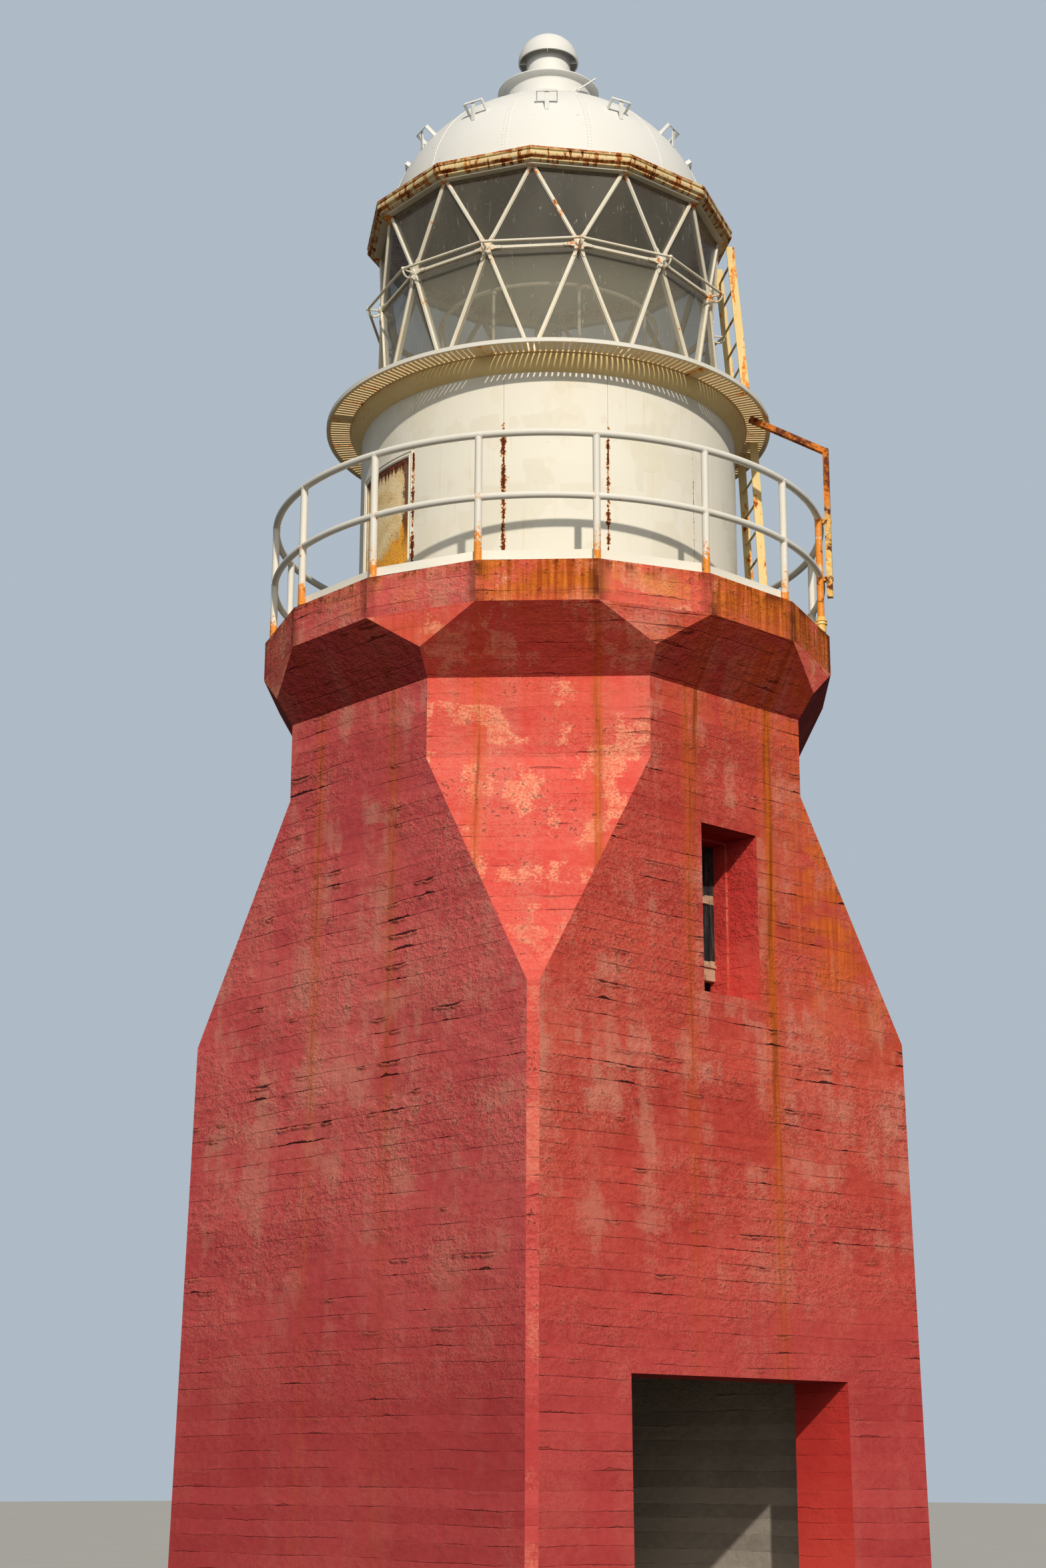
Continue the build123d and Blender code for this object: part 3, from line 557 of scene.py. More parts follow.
def red_coats(f, tone, corner, high):
    """Red paint: rosy on the faces that look left, a painted shade of the blue sky light on their shaded
    side; dull low down; and brighter on the corners, painted light for the faces turned to the sun.
    """
    # The rosy tint on faces that look left is painted shade: the blue sky light on the side away from the
    # sun.
    rosy = f.face_x.rise(-1.0, -0.3, 1, 0)
    dark_red = f.mix_colours(rosy, paint(168, 50, 44), paint(180, 64, 68))
    light_red = f.mix_colours(rosy, paint(202, 76, 60), paint(212, 90, 90))
    flat_red = f.two_tone(tone, 0.30, 0.68, dark_red, light_red)
    low_red = f.two_tone(tone, 0.30, 0.68, paint(166, 54, 56), paint(184, 68, 70))
    # The corners' brighter red is painted light, for the faces turned to the sun.
    corner_red_painted_light = f.two_tone(tone, 0.30, 0.68, paint(206, 68, 60), paint(226, 92, 80))
    return f.mix_colours(corner * f.z.rise(3.2, 5.2, 0.15, 1), f.mix_colours(high, low_red, flat_red),
                         corner_red_painted_light)


def worn_coats(f, colour, corner, high, rough_zone):
    """Wear over the red: pale specks, thin runs, daubs left by a brush, and peeled patches on the corners."""
    stepped = f.snapped(f.z + f.on_face(2, 1, 2, shift=9) * 0.25, 0.17)
    brush = f.noise(f.vector(f.across * 2.3, (f.z + stepped) * 1.25, 10), 1.0, 4, 0.6)
    speck = (f.grain * 0.6 + f.coarse * 0.4).rise(0.40, 0.60)
    fleck = (speck - 0.5) * 0.03
    daub = (brush * 0.5 + f.runs * 0.35 + f.clouds * 0.15 + fleck).rise(0.50, 0.60)
    thin = (f.clouds * 0.45 + f.runs * 0.55).rise(0.44, 0.62) * speck.rise(0, 1, 0.35, 1)
    peeled = (brush * 0.8 + f.clouds * 0.2 + fleck).rise(0.53, 0.575) * f.z.rise(4.9, 6.2, 0.3, 1)
    under = f.mix_colours(speck, paint(222, 112, 88), paint(240, 166, 132))
    colour = f.mix_colours(speck * rough_zone * 0.26, colour, paint(228, 136, 116))
    colour = f.mix_colours(thin * high * 0.38, colour, paint(206, 130, 112))
    colour = f.mix_colours(daub * high * (0.50 - corner * 0.3), colour, paint(204, 138, 118))
    return f.mix_colours(peeled * corner * 0.72, colour, under)


def red_concrete(f, corner, strength, rust_runs):
    """Board-marked concrete under faded red paint, with painted highlights on the lips under the cracks and
    painted shade in the cracks, pits and hairlines and on faces that look down; gives its colour, roughness
    and height.
    """
    board, rough_zone, hairline, crack, lip, pits = board_marks(f, strength, 1 - corner * 0.6)
    tone = f.clouds * 0.6 + f.coarse * 0.25 + board * 0.15
    high = f.z.rise(1.8, 4.4, 0.12, 1)
    colour = worn_coats(f, red_coats(f, tone, corner, high), corner, high, rough_zone)
    # The lips under the cracks are painted lighter: a painted highlight where they catch the light.
    colour = f.mix_colours(lip * 0.45, colour, paint(236, 122, 100))
    colour = rust_runs(f, colour)
    # The cracks are painted nearly black: painted shadow inside them.
    colour = f.mix_colours(crack * 0.92, colour, paint(40, 12, 12))
    # Pits and hairlines are painted darker: painted shade in these hollows.
    pit_and_hairline_painted_shade = (pits * 0.42) | (hairline * 0.5 * high.rise(0, 1, 0.6, 1))
    colour = f.mix_colours(pit_and_hairline_painted_shade, colour, paint(84, 24, 24))
    # Faces that look down are painted a deep dark red: painted shade under the corbel and the deck's edge.
    underside_painted_shade = f.face_z.rise(-0.25, -0.45)
    colour = f.mix_colours(underside_painted_shade * 0.70, colour, paint(116, 12, 8))
    jamb = abs(f.face_x).rise(0.85, 0.95) * abs(f.x).rise(1.3, 1.2)
    jamb_red = f.two_tone(f.clouds, 0.35, 0.65, paint(206, 52, 46), paint(222, 72, 60))
    colour = f.mix_colours(jamb * 0.75, colour, jamb_red)
    from_axis = f.maths("SQRT", f.x * f.x + f.y * f.y + 0.01)
    inside = ((f.face_x * f.x + f.face_y * f.y) / from_axis).rise(-0.7, -0.6, 1, 0)
    bare = f.two_tone(tone, 0.35, 0.65, paint(142, 134, 124), paint(176, 168, 158))
    colour = f.mix_colours(inside, colour, bare)
    relief = (board * 0.0016 + lip * 0.012 - hairline * 0.0035 - crack * 0.020 - pits * 0.0080
              + f.grain * rough_zone * 0.0075 + f.coarse * (rough_zone * 0.019 + 0.003) + f.clouds * 0.030)
    return colour, tone.rise(0.2, 0.8, 0.82, 0.94), relief


def deck_rust(f, colour):
    """Rust on the deck's edge: brown under each post, orange lower down, most on the faces to the front."""
    right = f.is_side(-4, -3, -2)
    front = right | f.is_side(-6) | (f.is_side(-5) * 0.25)
    sway = f.u + f.on_face(0.3, 1.3, 2, shift=11) * 0.06 - 0.03
    foot = abs(sway).rise(0.365, 0.462) * (f.streak * 0.35 + f.blotch * 0.65).rise(0.36, 0.54)
    edge = f.z.rise(deck_top - 0.15, deck_top - 0.005) * (f.streak * 0.4 + f.blotch * 0.6).rise(0.36, 0.52)
    drip = (f.streak * 0.5 + f.blotch * 0.5).rise(0.44, 0.56)
    drip = drip * f.z.rise(deck_bottom - 0.1, deck_top, 0.35, 1.0)
    lime = f.blotch.rise(0.50, 0.60) * f.z.rise(deck_bottom + 0.02, deck_bottom + 0.12) * (
        1 - f.streak.rise(0.5, 0.62) * 0.7)
    wash = front * (f.blotch * 0.6 + f.streak * 0.4).rise(0.34, 0.52) * (
        f.z.rise(deck_bottom - 0.1, deck_bottom + 0.16, 0.4, 1))
    orange = (drip * (front * 0.55 + 0.14)) | (edge * (front * 0.45 + 0.3)) | wash
    orange = orange | (right * f.blotch.rise(0.34, 0.54) * 0.75)
    colour = f.mix_colours(lime * (0.22 + f.is_side(-5) * 0.33), colour, paint(228, 150, 80))
    colour = f.mix_colours(orange, colour,
                           f.two_tone(f.streak, 0.35, 0.65, paint(212, 118, 34), paint(168, 74, 24)))
    brown = (foot * (front * 0.3 + 0.6)) | (edge * (f.streak * 0.2 + f.blotch * 0.8).rise(0.51, 0.58) * 0.75)
    return f.mix_colours(brown, colour, paint(92, 36, 14))


def shaft_rust(f, colour):
    """Rust that has run down the shaft from the posts' feet, most down the front face."""
    post_place = 0.463
    front = f.is_side(-2)
    corner = f.is_side(-3)
    sway = f.u + f.on_face(0.3, 1.3, 2, shift=11) * 0.06 - 0.03
    left_gap = abs(sway + post_place)
    right_gap = abs(sway - post_place)
    fade = f.z.rise(2.0, 6.2, 0.25, 1)
    left_run = left_gap.rise(0.004, 0.020, 1, 0)
    left_halo = left_gap.rise(0.01, 0.12, 0.40, 0)
    right_run = right_gap.rise(0.010, 0.055 + front * 0.010, 1, 0) * (0.42 + front * 0.58 + corner * 0.25)
    right_halo = right_gap.rise(0.03, 0.20, 0.45, 0) * (0.4 + front * 0.6)
    broad = front * sway.rise(0.45, 1.10) * f.blotch.rise(0.36, 0.58) * f.z.rise(4.4, 6.0) * 0.85
    collar = (f.streak * 0.5 + f.blotch * 0.5).rise(0.44, 0.56) * f.z.rise(6.8, 8.0) * (
        0.25 + front * (sway.rise(-0.4, 0.4) * 0.55 + 0.25) + corner * 0.1)
    halo = (left_halo | right_halo) * f.streak.rise(0.25, 0.6, 0.3, 0.9)
    orange = halo | (collar * 0.9) | broad
    colour = f.mix_colours(orange * fade, colour,
                           f.two_tone(f.streak, 0.3, 0.7, paint(222, 112, 34), paint(176, 74, 22)))
    by_window = front * abs(sway + 0.40).rise(0.02, 0.14, 1, 0) * f.z.rise(5.6, 7.6)
    by_window = by_window * f.streak.rise(0.35, 0.6)
    core = (left_run * 0.6 * f.streak.rise(0.3, 0.55, 0.3, 0.9)) | (
        right_run * f.streak.rise(0.2, 0.5, 0.65, 1)) | by_window
    return f.mix_colours(core * fade, colour,
                         f.two_tone(f.streak, 0.35, 0.65, paint(196, 96, 20), paint(140, 62, 16)))


def shaft_concrete():
    """The shaft's eight faces: smoother near the ground and at the neck, and brighter on the four corners,
    painted light for the faces turned to the sun.
    """
    f = Wall("faded_red_concrete", 8)
    # corner marks the four diagonal faces: their brighter red is painted light, and they also peel more.
    corner = abs(f.maths("SINE", f.facing * 2)).rise(0.5, 0.9)
    strength = f.z.rise(1.6, 3.4, 0.22, 1) * (1 - f.z.rise(6.9, 7.7) * 0.35)
    colour, rough, relief = red_concrete(f, corner, strength, shaft_rust)
    return f.finish(colour, rough, relief, specular=0.2)


def deck_concrete():
    """The deck's sixteen edges, duller to the left as painted shade on the facets turned from the sun, and
    its worn pale paving.
    """
    f = Wall("rust_stained_deck_edge", deck_sides)
    # The facets that look left lose the brighter corner red: painted shade on the side away from the sun.
    corner = 1 - f.is_side(-7, -8, 8) * 0.85
    colour, rough, relief = red_concrete(f, corner, 1.0, deck_rust)
    worn = f.noise(f.place, 3, 5, 0.65)
    paving = f.two_tone(worn, 0.35, 0.60, paint(204, 198, 184), paint(160, 150, 134))
    stained = f.mix_colours(worn.rise(0.58, 0.66) * 0.6, paving, paint(150, 96, 56))
    colour = f.mix_colours(f.face_z.rise(0.7, 0.85), colour, stained)
    return f.finish(colour, rough, relief, specular=0.2)


# Painted steel and where its rust breaks out: each function gives a mask from 0 to 1

def post_marks(f):
    """Rust at the posts' feet and at the rails' joints, and over the whole post beside the brace."""
    azimuth = f.azimuth()
    post_gap = f.gap_from(azimuth, deck_side_angle / 2, deck_side_angle, railing_radius)
    near_post = post_gap.rise(0.03, 0.09, 1, 0)
    uneven = f.noise(f.vector(azimuth * 0.06, 0.0, 3.0), 1.0, 2, 0.6).rise(0.40, 0.56, 0.25, 1)
    foot = f.z.rise(deck_top + 0.02, deck_top + 0.40, 1.05, 0)
    joint = abs(f.z - mid_rail_height).rise(0.01, 0.06, 0.3, 0)
    whole_post = abs(azimuth - (brace_post_azimuth - 360)).rise(2.0, 3.0, 1.0, 0)
    return near_post * ((foot | (joint * uneven)) * uneven.rise(0, 1, 0.65, 1) | whole_post)


def seam_marks(f, azimuth):
    """Broken rust lines down the drum's seams, the widest at the three that face the weather."""
    gap = f.gap_from(azimuth, drum_seam_turn, drum_plate_angle, drum_radius)
    seam = ((azimuth - drum_seam_turn) / drum_plate_angle).whole()
    worst = seam.is_near(-5) | (seam.is_near(-4) * 0.75) | (seam.is_near(-6) * 0.8)
    broken = f.noise(f.vector(seam * 3.7, 0.0, f.z * 7.5), 1.0, 4, 0.65)
    width = broken.rise(0.38, 0.58, 0.25, 1) * (worst * 0.017 + 0.004)
    under_head = f.z.rise(drum_top - 0.342, drum_top - 0.742)
    line = (gap / width).rise(0.0, 2.4, 1, 0) * under_head * broken.rise(0.35, 0.44)
    foot = gap.rise(0.0, 0.09, 1, 0) * f.z.rise(deck_top + 0.16, deck_top + 0.30, 1, 0) * worst
    return line | (foot * 0.8)


def node_marks(f):
    """Rust round some of the lattice's castings, at the bars' heads and along a few bars."""
    azimuth = f.azimuth()
    uneven = f.noise(f.vector(azimuth * 0.04, f.z * 0.8, 6.0), 1.0, 2, 0.6).rise(0.46, 0.60)
    casting_gap = f.gap_from(azimuth, lantern_turn + bay_angle / 2, bay_angle, mid_node_radius)
    head_gap = f.gap_from(azimuth, lantern_turn, bay_angle, node_radius)
    middle = abs(f.z - mid_node_height).rise(0.02, 0.16, 1, 0) * casting_gap.rise(0.03, 0.14, 1, 0)
    head = f.z.rise(head_top - 0.19, head_top - 0.06) * head_gap.rise(0.02, 0.10, 1, 0)
    along = f.noise(f.vector(azimuth * 0.22, f.z * 2.5, 4.0), 1.0, 3, 0.6).rise(0.54, 0.62)
    return (middle * uneven * 0.45) | (head * 0.55) | (along * 0.25)


def cornice_marks(f):
    """A rust line along the cornice's lower fillets and its drip edge, stronger in some lengths."""
    azimuth = f.azimuth()
    length = f.noise(f.vector(azimuth * 0.12, 0.0, 2.0), 1.0, 4, 0.65).rise(0.40, 0.54, 0.2, 1)
    patches = f.noise(f.vector(azimuth * 0.4, f.z * 3.0, 7.0), 1.0, 4, 0.65).rise(0.50, 0.56)
    fillet = abs(f.z - (head_top + 0.008)).rise(0.006, 0.020, 1, 0)
    lip = f.z.rise(cornice_top - 0.029, cornice_top - 0.013)
    return ((fillet | lip) * length) | (patches * 1.1)


def grating_marks(f):
    """Rust at the catwalk's panel joints and in clusters along it."""
    azimuth = f.azimuth()
    joint = f.gap_from(azimuth, 30, 60, catwalk_radius).rise(0.02, 0.10, 0.3, 0)
    cluster = f.noise(f.vector(azimuth * 0.30, 0.0, 8.0), 1.0, 3, 0.6).rise(0.56, 0.64)
    return joint | (cluster * 0.6)


def ladder_marks(f):
    """Rust along the ladders' edges, with more near the upper one's foot."""
    near_foot = f.z.rise(lower_ladder_top - 0.12, lower_ladder_top + 0.28)
    near_foot = near_foot * f.z.rise(lower_ladder_top + 0.63, lower_ladder_top + 0.53)
    return (f.noise(f.stretched(9, 9, 2.2), 1.0, 4, 0.65) + near_foot * 0.10).rise(0.50, 0.60) * 0.8


def steel_paint(name, base, rusty, marks, yellowed, ring_tone=paint(230, 136, 8), scabs=0.75):
    """Cream-white paint on steel: soft dull areas, rust specks with orange rings, and runs.

    marks is a function of the finish that gives where more rust breaks out, or None.
    """
    f = Finish(name)
    soft = f.noise(f.place, 2.1, 3, 0.55)
    runs = f.noise(f.stretched(19, 19, 1.7), 1.0, 4, 0.6)
    dots = f.noise(f.place, 38, 3, 0.55)
    patch = f.noise(f.place, 6.5, 4, 0.6)
    break_out = dots * 0.45 + patch * 0.55
    where = marks(f) if marks else None
    lift = where * 0.22 if marks else 0.0
    ring = (break_out + lift * 1.15).rise(0.635 - 0.05 * rusty, 0.70 - 0.04 * rusty)
    core = (break_out + lift * scabs).rise(0.68 - 0.05 * rusty, 0.73 - 0.04 * rusty)
    stain = runs.rise(0.52, 0.76) * patch.rise(0.35, 0.7) * (0.35 * rusty)
    if marks:
        stain = stain | (where * runs.rise(0.40, 0.62) * 0.6)
    dull = tuple(value * share for value, share in zip(base, (0.93, 0.90, 0.80, 1)))
    colour = f.mix_colours((soft * 0.7 + runs * 0.3).rise(0.40, 0.60) * yellowed, base, dull)
    colour = f.mix_colours(stain, colour, paint(230, 162, 36))
    colour = f.mix_colours(ring * 0.95, colour, ring_tone)
    colour = f.mix_colours(core, colour, f.two_tone(dots, 0.4, 0.6, paint(74, 32, 14), paint(146, 72, 22)))
    relief = soft * 0.001 + dots * 0.0004 + ring * 0.0008 - core * 0.0006
    return f.finish(colour, core.rise(0, 1, 0.55, 0.88), relief, specular=0.35)


def drum_coat():
    """Cream plates with duller squares where they were touched up, and rust along their seams."""
    f = Finish("plate_cream_paint")
    azimuth = f.azimuth()
    along = azimuth * (math.pi / 180 * drum_radius)
    stepped = f.snapped(f.z + f.noise(f.place, 3, 2) * 0.2, 0.21)
    squares = f.noise(f.vector(along * 1.7, (f.z + stepped) * 0.9, 4.0), 1.0, 3, 0.6)
    edges = f.noise(f.place, 30, 3, 0.6)
    touched = (squares + (edges - 0.5) * 0.05).rise(0.53, 0.555)
    older = f.noise(f.vector(along * 2.3, f.z * 1.6, 9.0), 1.0, 3, 0.6).rise(0.56, 0.60)
    dots = f.noise(f.place, 46, 3, 0.55)
    patch = f.noise(f.place, 7, 4, 0.6)
    marks = seam_marks(f, azimuth)
    break_out = dots * 0.55 + patch * 0.45
    ring = (break_out + marks * 0.31).rise(0.65, 0.73)
    core = (break_out + marks * 0.28).rise(0.70, 0.75)
    runs = f.noise(f.stretched(24, 24, 1.2), 1.0, 3, 0.6)
    colour = f.mix_colours(touched * 0.5, paint(230, 226, 213), paint(220, 214, 196))
    colour = f.mix_colours(older * 0.3, colour, paint(222, 212, 186))
    colour = f.mix_colours(runs.rise(0.55, 0.75) * 0.25, colour, paint(214, 192, 146))
    colour = f.mix_colours(ring * 0.8, colour, paint(214, 146, 62))
    colour = f.mix_colours(core, colour, f.two_tone(dots, 0.4, 0.6, paint(58, 24, 12), paint(112, 52, 20)))
    relief = squares * 0.004 + touched * 0.0004 + dots * 0.0003 + ring * 0.0008
    return f.finish(colour, core.rise(0, 1, 0.62, 0.9), relief, specular=0.3)


def door_coat():
    """Ochre door: a pebbled coat, orange low down, dark rust under its head and down one edge."""
    f = Finish("door_ochre_paint")
    pebble = f.make("ShaderNodeTexVoronoi", {}, {"Vector": f.place, "Scale": 85}, "Distance")
    grain = f.noise(f.place, 60, 3, 0.6)
    runs = f.noise(f.vector(f.azimuth() * 0.9, 0.0, f.z * 0.8), 1.0, 4, 0.6)
    cloud = f.noise(f.place, 6, 4, 0.6)
    head = (f.z + (runs - 0.5) * 0.28 + (grain - 0.5) * 0.1).rise(door_head - 0.12, door_head - 0.06)
    right_edge = (f.y + (cloud - 0.5) * 0.22 + (grain - 0.5) * 0.06).rise(0.015, -0.015)
    right_edge = right_edge * f.z.rise(door_head - 0.89, door_head - 0.59)
    rusted = head | (right_edge * 0.9)
    low = (f.y * 0.7 + f.z + (cloud - 0.5) * 0.5 + (grain - 0.5) * 0.08).rise(
        door_head - 0.53, door_head - 0.59)
    speck = (cloud * 0.5 + grain * 0.5).rise(0.56, 0.62)
    colour = f.two_tone(cloud, 0.38, 0.62, paint(244, 222, 176), paint(232, 200, 140))
    colour = f.mix_colours((low * 0.95) | (runs.rise(0.58, 0.64) * 0.4), colour,
                           f.two_tone(grain, 0.35, 0.65, paint(250, 184, 50), paint(230, 146, 30)))
    colour = f.mix_colours(speck * 0.4, colour, paint(150, 92, 36))
    colour = f.mix_colours(rusted, colour,
                           f.two_tone(grain, 0.4, 0.6, paint(58, 22, 12), paint(120, 56, 22)))
    return f.finish(colour, rusted.rise(0, 1, 0.55, 0.9), pebble * 0.0025 + grain * 0.0015 + speck * 0.001)


def plain_metal(name, base, deep, roughness=0.6, scale=18):
    """Paint or metal with cloudy wear between two tones."""
    f = Finish(name)
    cloud = f.noise(f.place, scale, 5, 0.62)
    wide = f.noise(f.place, scale * 0.2, 3, 0.55)
    colour = f.two_tone(cloud * 0.6 + wide * 0.4, 0.38, 0.62, base, deep)
    return f.finish(colour, cloud.rise(0.3, 0.7, roughness, min(1.0, roughness + 0.25)), cloud * 0.002)


def rusty_steel():
    """Old rust in dark brown and bright orange, with yellowed paint left low down."""
    f = Finish("orange_rust")
    cloud = f.noise(f.place, 15, 6, 0.68, 0.3)
    wide = f.noise(f.place, 5, 3, 0.6)
    scabs = f.noise(f.place, 34, 4, 0.7)
    low_down = f.z.rise(top_rail_height + 0.267, top_rail_height - 0.133)
    paint_left = low_down * (wide * 0.5 + cloud * 0.5).rise(0.44, 0.50)
    colour = f.two_tone(cloud * 0.6 + wide * 0.4, 0.42, 0.58, paint(96, 40, 16), paint(216, 122, 34))
    colour = f.mix_colours(scabs.rise(0.54, 0.62) * 0.7, colour, paint(52, 22, 12))
    colour = f.mix_colours(paint_left, colour,
                           f.two_tone(cloud, 0.4, 0.6, paint(236, 214, 150), paint(232, 178, 78)))
    return f.finish(colour, 0.88, cloud * 0.004 + scabs * 0.002)


# Window and lantern

def weathered_wood():
    """Beige paint on the window's rails, with grey wood in its cracks, and stiles gone nearly black."""
    f = Finish("window_beige_paint")
    grain = f.noise(f.stretched(60, 60, 5), 1.0, 4, 0.65)
    cloud = f.noise(f.place, 9, 4, 0.6)
    bare = (grain * 0.6 + cloud * 0.4).rise(0.56, 0.60)
    over_bottom_rail = f.z.rise(window_glass_foot - 0.002, window_glass_foot + 0.002)
    under_meeting_rail = f.z.rise(meeting_rail_foot - 0.001, meeting_rail_foot - 0.005)
    over_meeting_rail = f.z.rise(meeting_rail_head, meeting_rail_head + 0.004)
    stile = over_bottom_rail * under_meeting_rail | over_meeting_rail
    colour = f.two_tone(cloud, 0.35, 0.65, paint(190, 160, 132), paint(164, 132, 104))
    colour = f.mix_colours(bare * 0.8, colour, paint(96, 78, 62))
    colour = f.mix_colours(stile, colour,
                           f.two_tone(grain, 0.50, 0.56, paint(26, 24, 26), paint(62, 56, 54)))
    return f.finish(colour, 0.75, grain * 0.002 - bare * 0.001)


def window_glass():
    """Dusty window glass painted nearly black and nearly opaque: painted shade for the unlit room behind it.
    """
    f = Finish("dark_window_glass")
    dust = f.noise(f.stretched(12, 12, 3), 1.0, 4, 0.6)
    # The near-black colour is painted shade; the paler patches are dust.
    colour = f.mix_colours(dust.rise(0.5, 0.75) * 0.5, paint(28, 26, 28), paint(120, 112, 100))
    return f.finish(colour, 0.15, alpha=dust.rise(0.4, 0.8, 0.7, 0.95))


def lantern_glass():
    """Warm grey glass with a film that is painted shade on the upper panes and a painted reflection low down,
    dust thicker in some bays, and fine specks and scratches.
    """
    f = Finish("dusty_lantern_glass")
    dust = f.noise(f.place, 52, 4, 0.7)
    scratches = f.noise(f.stretched(40, 40, 5), 1.0, 3, 0.6, 1.2)
    bay = f.noise(f.vector(f.azimuth() * 0.05, f.z * 0.7, 1.0), 1.0, 2, 0.5).rise(0.38, 0.60)
    specks = dust.rise(0.665, 0.70) | (scratches.rise(0.66, 0.70) * 0.7)
    # The lower panes get a paler, thinner film, a painted reflection; the upper panes a darker one, painted
    # shade from the dome above.
    low = f.z.rise(mid_node_height + 0.11, mid_node_height - 0.49)
    grey = f.mix_colours(low * 0.8, paint(86, 84, 78), paint(186, 184, 166))
    grey = f.mix_colours(bay * 0.35, grey, paint(124, 118, 104))
    colour = f.mix_colours(specks, grey, paint(206, 200, 186))
    film = bay * 0.12 + (0.42 - low * 0.24)
    return f.finish(colour, 0.08, alpha=film | (specks * 0.7))


concrete = shaft_concrete()
deck_edge = deck_concrete()
rail_paint = steel_paint("rail_cream_paint", paint(226, 223, 214), 0.25, post_marks, 0.25, scabs=0.55)
plate_paint = drum_coat()
kerb_paint = steel_paint("kerb_white_paint", paint(232, 228, 216), 0.1, None, 0.2)
dome_paint = steel_paint("dome_white_paint", paint(226, 226, 222), 0.0, None, 0.1)
lattice_paint = steel_paint("lattice_cream_paint", paint(226, 220, 204), 0.3, node_marks, 0.5)
ladder_paint = steel_paint("ladder_cream_paint", paint(234, 208, 144), 0.5, ladder_marks, 0.6)
door_finish = door_coat()
grating_paint = steel_paint("grating_worn_paint", paint(232, 206, 158), 0.5, grating_marks, 0.7)
cove_paint = steel_paint("cove_cream_paint", paint(238, 212, 154), 0.5, None, 0.8)
cornice_paint = steel_paint("cornice_cream_paint", paint(220, 200, 154), 0.6, cornice_marks, 0.8,
                            paint(186, 112, 46))
frame_wood = weathered_wood()
floor_concrete = plain_metal("pale_floor_concrete", paint(212, 206, 192), paint(186, 178, 162), 0.85, 6)
lamp_metal = plain_metal("lamp_grey_metal", paint(120, 124, 124), paint(84, 88, 90), 0.45)
lamp_cover = plain_metal("lamp_dark_cover", paint(34, 34, 36), paint(22, 22, 24), 0.2)
rust = rusty_steel()
pane_glass = lantern_glass()
sash_glass = window_glass()

# The solids of each finish; what isn't named here is red concrete

finish_nodes = (
    (floor_concrete, ("ground_floor",)),
    (deck_edge, ("gallery_deck",)),
    (frame_wood, ("window_frame", "window_sashes")),
    (sash_glass, ("window_glass",)),
    (kerb_paint, ("gallery_kerb",)),
    (rail_paint, ("railing_posts", "railing_top_rail", "railing_mid_rail", "catwalk_rim")),
    (plate_paint, ("drum_plates_even", "drum_plates_odd", "drum_door_frame")),
    (door_finish, ("drum_door",)),
    (cove_paint, ("drum_cove",)),
    (grating_paint, ("catwalk_grating", "lantern_floor")),
    (lattice_paint, ("lantern_sill", "lantern_lattice", "lantern_head", "lantern_handrail",
                     "handrail_hooks", "guard_rail", "guard_rail_posts")),
    (pane_glass, ("lantern_glass_upper", "lantern_glass_lower")),
    (cornice_paint, ("cornice",)),
    (dome_paint, ("dome", "dome_brackets", "vent_stack", "vent_cap", "lightning_rod")),
    (ladder_paint, ("lower_ladder", "upper_ladder")),
    (rust, ("rail_brace",)),
    (lamp_metal, ("lamp_pedestal", "lamp_base")),
    (lamp_cover, ("lamp",)),
)
node_finish = {name: finish for finish, names in finish_nodes for name in names}
for name, node in nodes.items():
    node.data.materials.clear()
    node.data.materials.append(node_finish.get(name, concrete))


# Pieces of the lighthouse that take the place of plain solids

metre_angle = math.degrees(1 / drum_radius)
low_nodes = polar(node_radius, bay_corners, sill_top)
middle_nodes = polar(mid_node_radius, bay_middles, mid_node_height)
top_nodes = polar(node_radius, bay_corners, top_node_height)
dome_crown = math.degrees(math.acos(collar_inner_radius / dome_radius))
join_distance = 0.00005
sharp_angle = math.radians(40)


def next_of(points):
    """Each point's neighbour, with the first one after the last."""
    return np.roll(points, -1, 0)


def many(direction, count):
    """One direction repeated for each of a number of bars or rivets."""
    return np.tile(direction, (count, 1))


def saddle_bead(tube_radius, crossed_radius, centre_height, side):
    """A weld where one tube enters another of radius R.

    At an angle t round a post it lies sqrt(R^2 - (r cos t)^2) below the rail; round a level rail it lies
    as far to one side of the post's axis.
    """
    turn = np.radians(np.arange(20) * 18)
    outward = tube_radius * np.cos(turn)
    across = tube_radius * np.sin(turn)
    reach = np.sqrt(np.maximum(crossed_radius ** 2 - outward ** 2, 0))
    if side == 0:
        path = np.stack([railing_radius + outward, across, centre_height - reach], -1)
    else:
        path = np.stack([railing_radius + outward, side * reach, centre_height + across], -1)
    return tube(path, 0.0045, 6, closed=True)


def gallery_railing():
    """Sixteen posts, a round rail over them and a round rail between them."""
    head = top_rail_height - 0.004
    post = turned([(0, deck_top), (post_radius, deck_top), (post_radius, head), (0, head)],
                  24, (railing_radius, 0))
    put_piece("railing_posts_round", turn_copies(post, post_azimuths), rail_paint,
              ("railing_posts",))
    for name, height, radius, replaced in (
            ("railing_top_tube", top_rail_height, post_radius, "railing_top_rail"),
            ("railing_mid_tube", mid_rail_height, mid_rail_radius, "railing_mid_rail")):
        rail = turned(ring_profile(railing_radius, height, radius, 18), 192, closed=True)
        put_piece(name, rail, rail_paint, (replaced,))


